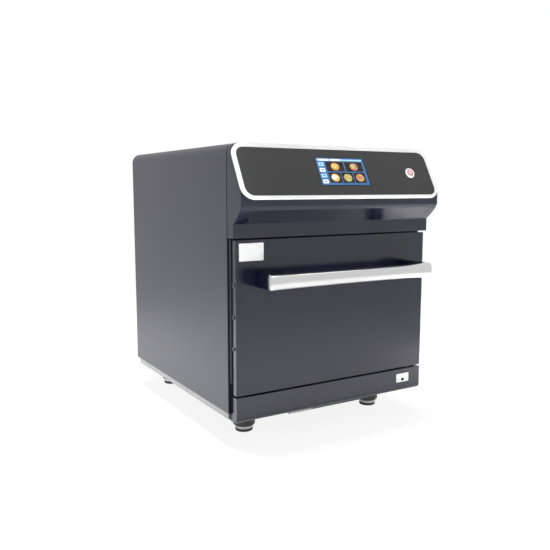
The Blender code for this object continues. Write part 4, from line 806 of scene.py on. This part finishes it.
def screen_dishes():
    number = 0
    for bottom, top, spans in row_shares:
        for left, right in spans:
            main, accent = tile_fills[number]
            number += 1
            screen_rect("screen_tile_%d" % number, left, bottom, right, top, tile_dark, tile_rise)
            middle, up = (left + right) / 2, (bottom + top) / 2
            screen_round("screen_dish_%d" % number, middle, up, dish_radius, dish_stretch, main,
                         dish_rise)
            screen_round("screen_filling_%d" % number, middle - filling_shift_share,
                         up + filling_shift_share, filling_radius, filling_stretch, accent,
                         filling_rise)


# Push button, with the heights of its profiles up from the screen's face

button_segments = 64
collar_profile = in_mm((9.2, -18), (11, -18), (11, 0.05), (11.9, 0.05), (11.9, 0.4), (10.9, 2.5),
                       (10.3, 2.9), (9.5, 2.9), (9.2, 2.6))
cap_profile = in_mm((0, 2.2), (7.4, 2.4), (8.3, 2.8), (8.8, 2.3), (8.8, 0.3), (0, 0.3))
symbol_low = 2.1 * MM
symbol_top = 2.55 * MM
symbol_inner = 5.3 * MM
symbol_outer = 6.8 * MM
symbol_start = 110
symbol_end = 430
symbol_steps = 30
symbol_bar_low = (-0.8 * MM, 1.2 * MM)
symbol_bar_high = (0.8 * MM, 4.6 * MM)
symbol_bar_radius = 0.7 * MM
symbol_bar_steps = 4


def button_matrix():
    return panel_matrix() @ Matrix.Translation((*button_place, screen_face))


def button_skins():
    """The white collar of the push button and the rose cap that moves in it."""
    points, faces = turned(collar_profile, button_segments, button_matrix(), True)
    ring = piece("button_collar", points, faces, ring_white_painted_glow, "body")
    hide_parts("button_ring")
    points, faces = turned(cap_profile, button_segments, button_matrix())
    top = piece("button_cap", points, faces, button_rose, "button")


def power_symbol():
    """A plain ring with a gap and a bar, which moves with the button."""
    matrix = button_matrix()
    section = ((symbol_inner, symbol_low), (symbol_outer, symbol_low), (symbol_outer, symbol_top),
               (symbol_inner, symbol_top))
    rings = []
    for step in range(symbol_steps + 1):
        angle = math.radians(symbol_start + (symbol_end - symbol_start) * step / symbol_steps)
        across, up = math.cos(angle), math.sin(angle)
        rings.append([matrix @ Vector((radius * across, radius * up, height))
                      for radius, height in section])
    points, faces = loft(rings)
    piece("power_symbol_ring", points, faces, button_red_painted_glow, "button")
    outline = rounded(symbol_bar_low, symbol_bar_high, symbol_bar_radius, symbol_bar_steps)
    points, faces = loft([[(x, y, height) for x, y in outline] for height in (symbol_low, symbol_top)])
    points = [matrix @ Vector(point) for point in points]
    piece("power_symbol_bar", points, faces, button_mark_painted_glow, "button")


# Strips that show in the gaps beside the door, light grey as painted light for an edge in those gaps

gap_strip_outer_inset = 3.8 * MM
gap_strip_inner_inset = 6 * MM
gap_strip_reach = 5 * MM
gap_strip_back_gap = 0.2 * MM
gap_strip_wall = 0.6 * MM
gap_strip_base_rise = 22 * MM


def side_gap_strips():
    face, back = front_y - gap_strip_reach, front_y - gap_strip_back_gap
    for side, name in ((-1, "side_gap_strip_left"), (1, "side_gap_strip_right")):
        outer, inner = side * (half_width - gap_strip_outer_inset), side * (half_width - gap_strip_inner_inset)
        web = inner + side * gap_strip_wall
        section = [(outer, face), (inner, face), (inner, back), (web, back), (web, face + gap_strip_wall),
                   (outer, face + gap_strip_wall)]
        rings = [[(x, y, z) for x, y in section] for z in (door_low[2] + gap_strip_base_rise, door_high[2])]
        points, faces = loft(rings)
        piece(name, points, faces, gap_strip_painted_light, "body")


# Port plate's recess and screws; their profiles give radius and height above the surface

recess_profile = in_mm((0, 0.15), (2.6, 0.15), (3.1, 0), (3.1, -0.4), (0, -0.4))
recess_stretch = 1.3
recess_segments = 32
rim_profile = in_mm((2.5, 0.1), (2.8, 0.5), (3.6, 0.4), (4.1, -0.3), (2.5, -0.3))
socket_profile = in_mm((0, 0.12), (2.5, 0.12), (2.5, -0.2), (0, -0.2))
edge_screw_segments = 28
rear_screw_profile = in_mm((0, 0.9), (0.9, 0.9), (1.2, 1.9), (2.4, 1.6), (3.4, 0.8), (3.6, 0.02),
                           (0, 0.02))
rear_screw_segments = 20
rear_screw_columns = (-228 * MM, -76 * MM, 76 * MM, 228 * MM)
rear_screw_rows = (590 * MM, 82 * MM)
rear_screw_side = 238 * MM
rear_screw_side_rows = (220 * MM, 345 * MM, 470 * MM)


def port_recess():
    """The dark recess round the plug of the port plate."""
    place = middle_of("port_plug")
    place[1] = box("port_plug")[0][1]
    turn = Matrix.Translation(place) @ Matrix.Rotation(math.radians(90), 4, "X")
    turn = turn @ Matrix.Diagonal((recess_stretch, 1, 1, 1))
    points, faces = turned(recess_profile, recess_segments, turn)
    piece("port_recess", points, faces, plug_plastic, "body")


def edge_screws():
    """A raised rim, pale as painted highlight, and a dark socket on each screw in the door's edges."""
    for side, name in ((-1, "left"), (1, "right")):
        for number in (1, 2, 3):
            screw = "door_side_screw_%s_%d" % (name, number)
            place = middle_of(screw)
            place[0] = box(screw)[0 if side < 0 else 1][0]
            turn = Matrix.Translation(place) @ Matrix.Rotation(math.radians(90 * side), 4, "Y")
            points, faces = turned(rim_profile, edge_screw_segments, turn, True)
            piece("door_edge_rim_%s_%d" % (name, number), points, faces, screw_rim_painted_highlight, "door")
            points, faces = turned(socket_profile, edge_screw_segments, turn)
            piece("door_edge_socket_%s_%d" % (name, number), points, faces, plug_plastic, "door")


def rear_screws():
    """Pan-head screws with a round recess, along the rear panel's edges."""
    face = box("rear_panel")[1][1]
    places = [(x, z) for x in rear_screw_columns for z in rear_screw_rows]
    places += [(x, z) for z in rear_screw_side_rows for x in (-rear_screw_side, rear_screw_side)]
    for number, (x, z) in enumerate(places, start=1):
        turn = Matrix.Translation((x, face, z)) @ Matrix.Rotation(math.radians(-90), 4, "X")
        points, faces = turned(rear_screw_profile, rear_screw_segments, turn)
        piece("rear_screw_%d" % number, points, faces, chrome, "body")


node_edges = {"outer_cover": 0.7 * MM, "door_shell": 0.9 * MM, "lower_panel": 0.7 * MM,
              "badge_plate": 0.35 * MM, "port_plate": 0.35 * MM, "handle_bracket_left": 0.8 * MM,
              "handle_bracket_right": 0.8 * MM}


def ease_nodes():
    for name, width in node_edges.items():
        ease_edges(frame["nodes"][name], width)


# Stage, with places and sizes in metres

CAMERA_PLACE = (-0.8353, front_y - 1.1567, 0.526)
CAMERA_YAW = 31.014
CAMERA_PITCH = 7.497
CAMERA_LENS = 43.37
CAMERA_SENSOR = 36
CAMERA_REACH = 50
WORLD_LIGHT = 0.6
FLOOR_COLOUR = (0.95, 0.95, 0.95, 1)
WHITE = (1, 1, 1, 1)
FLOOR_HALF = 15
FLOOR_DROP = 0.5 * MM
# Distances from the middle between which the floor goes from its darker to its full white share
FLOOR_FADE = (0.9, 1.8)
FLOOR_NEAR_SHARE = 0.7
FLOOR_CAMERA_SHARE = 0.88
BEAM_HEIGHT = 2.4
BEAM_SPREAD = 8
# Name, place, target, side length and power
TOP_SOFTBOX = ("top_softbox", (0.2, -0.4, 2.6), (0, 0, 0), 1.2, 14)
BAR_GLINT = ("bar_glint", (1.48, -0.06, 2.6), (-0.1, -0.34, 0.33), 0.3, 2)
# Name, two corners of the lit rectangle and power
FLOOR_BEAMS = (("left_floor_beam", (-1.9, -1.7), (-0.3, 1.9), 46),
               ("side_floor_beam", (-0.9, -0.3), (-0.3, 1.2), 8),
               ("front_floor_beam", (-0.3, -1.7), (1.9, -0.4), 23),
               ("right_floor_beam", (0.34, -0.4), (1.9, 1.9), 28),
               ("rear_floor_beam", (-0.3, 0.6), (0.34, 1.9), 7),
               ("right_near_beam", (0.52, -0.7), (1.2, 0.3), 12))


def camera():
    data = bpy.data.cameras.new("camera")
    data.sensor_width = CAMERA_SENSOR
    data.sensor_fit = "HORIZONTAL"
    data.lens = CAMERA_LENS
    data.clip_end = CAMERA_REACH
    thing = bpy.data.objects.new("camera", data)
    bpy.context.scene.collection.objects.link(thing)
    thing.location = CAMERA_PLACE
    thing.rotation_euler = (math.radians(90 - CAMERA_PITCH), 0, math.radians(-CAMERA_YAW))
    bpy.context.scene.camera = thing


def larger(tree, first, second):
    node = tree.nodes.new("ShaderNodeMath")
    node.operation = "MAXIMUM"
    tree.links.new(first, node.inputs[0])
    tree.links.new(second, node.inputs[1])
    return node.outputs[0]


def seen_directly(tree, path):
    """1 for rays that show the background: camera, glossy and transmission rays."""
    seen = larger(tree, path.outputs["Is Camera Ray"], path.outputs["Is Glossy Ray"])
    return larger(tree, seen, path.outputs["Is Transmission Ray"])


def glow(tree, kind, strength):
    node = tree.nodes.new(kind)
    node.inputs["Color"].default_value = WHITE
    node.inputs["Strength"].default_value = strength
    return node.outputs[0]


def mix_shaders(tree, share, first, second, output):
    mix = tree.nodes.new("ShaderNodeMixShader")
    tree.links.new(share, mix.inputs[0])
    tree.links.new(first, mix.inputs[1])
    tree.links.new(second, mix.inputs[2])
    tree.links.new(mix.outputs[0], output.inputs["Surface"])


def world():
    """A plain level of light that shows as white."""
    place = bpy.data.worlds.new("studio")
    bpy.context.scene.world = place
    place.use_nodes = True
    tree = place.node_tree
    tree.nodes.clear()
    output = tree.nodes.new("ShaderNodeOutputWorld")
    path = tree.nodes.new("ShaderNodeLightPath")
    light = glow(tree, "ShaderNodeBackground", WORLD_LIGHT)
    shown = glow(tree, "ShaderNodeBackground", 1)
    mix_shaders(tree, seen_directly(tree, path), light, shown, output)


def floor_share(tree):
    """How much of the floor shows plain white: more far away, and much of it to the camera."""
    path = tree.nodes.new("ShaderNodeLightPath")
    place = tree.nodes.new("ShaderNodeTexCoord")
    distance = tree.nodes.new("ShaderNodeVectorMath")
    distance.operation = "LENGTH"
    tree.links.new(place.outputs["Object"], distance.inputs[0])
    share = tree.nodes.new("ShaderNodeMath")
    share.operation = "MULTIPLY"
    tree.links.new(seen_directly(tree, path), share.inputs[0])
    far = spread(tree, distance.outputs["Value"], FLOOR_NEAR_SHARE, 1, *FLOOR_FADE)
    tree.links.new(far, share.inputs[1])
    near_white = spread(tree, path.outputs["Is Camera Ray"], 0, FLOOR_CAMERA_SHARE, 0, 1)
    return larger(tree, share.outputs[0], near_white)


def floor():
    material = bpy.data.materials.new("pale_floor")
    material.use_nodes = True
    tree = material.node_tree
    tree.nodes.clear()
    output = tree.nodes.new("ShaderNodeOutputMaterial")
    soft = tree.nodes.new("ShaderNodeBsdfDiffuse")
    soft.inputs["Color"].default_value = FLOOR_COLOUR
    shown = glow(tree, "ShaderNodeEmission", 1)
    mix_shaders(tree, floor_share(tree), soft.outputs[0], shown, output)
    points = [(x * FLOOR_HALF, y * FLOOR_HALF, 0) for x, y in ((-1, -1), (1, -1), (1, 1), (-1, 1))]
    ground = piece("pale_floor", points, [(0, 1, 2, 3)], material, None)
    ground.location.z = -FLOOR_DROP


def area_light(name, size, power):
    data = bpy.data.lights.new(name, "AREA")
    data.shape = "RECTANGLE"
    data.size, data.size_y = size
    data.energy = power
    thing = bpy.data.objects.new(name, data)
    bpy.context.scene.collection.objects.link(thing)
    return thing


def lamp(name, place, target, side, power):
    thing = area_light(name, (side, side), power)
    thing.location = place
    thing.rotation_euler = (Vector(target) - Vector(place)).to_track_quat("-Z", "Y").to_euler()


def floor_beam(name, low, high, power):
    """Near-parallel light straight down on a rectangle of the floor beside the oven."""
    thing = area_light(name, (high[0] - low[0], high[1] - low[1]), power)
    thing.data.spread = math.radians(BEAM_SPREAD)
    thing.location = ((low[0] + high[0]) / 2, (low[1] + high[1]) / 2, BEAM_HEIGHT)


def lamps():
    lamp(*TOP_SOFTBOX)
    for beam in FLOOR_BEAMS:
        floor_beam(*beam)
    lamp(*BAR_GLINT)


camera()
world()
floor()
lamps()
dress_nodes()
housing_skin()
handle_skin()
frame_skin()
foot_skins()
screen_keys()
screen_dishes()
button_skins()
power_symbol()
rear_screws()
edge_screws()
side_gap_strips()
port_recess()
ease_nodes()

scene = bpy.context.scene
scene.view_settings.view_transform = "Standard"
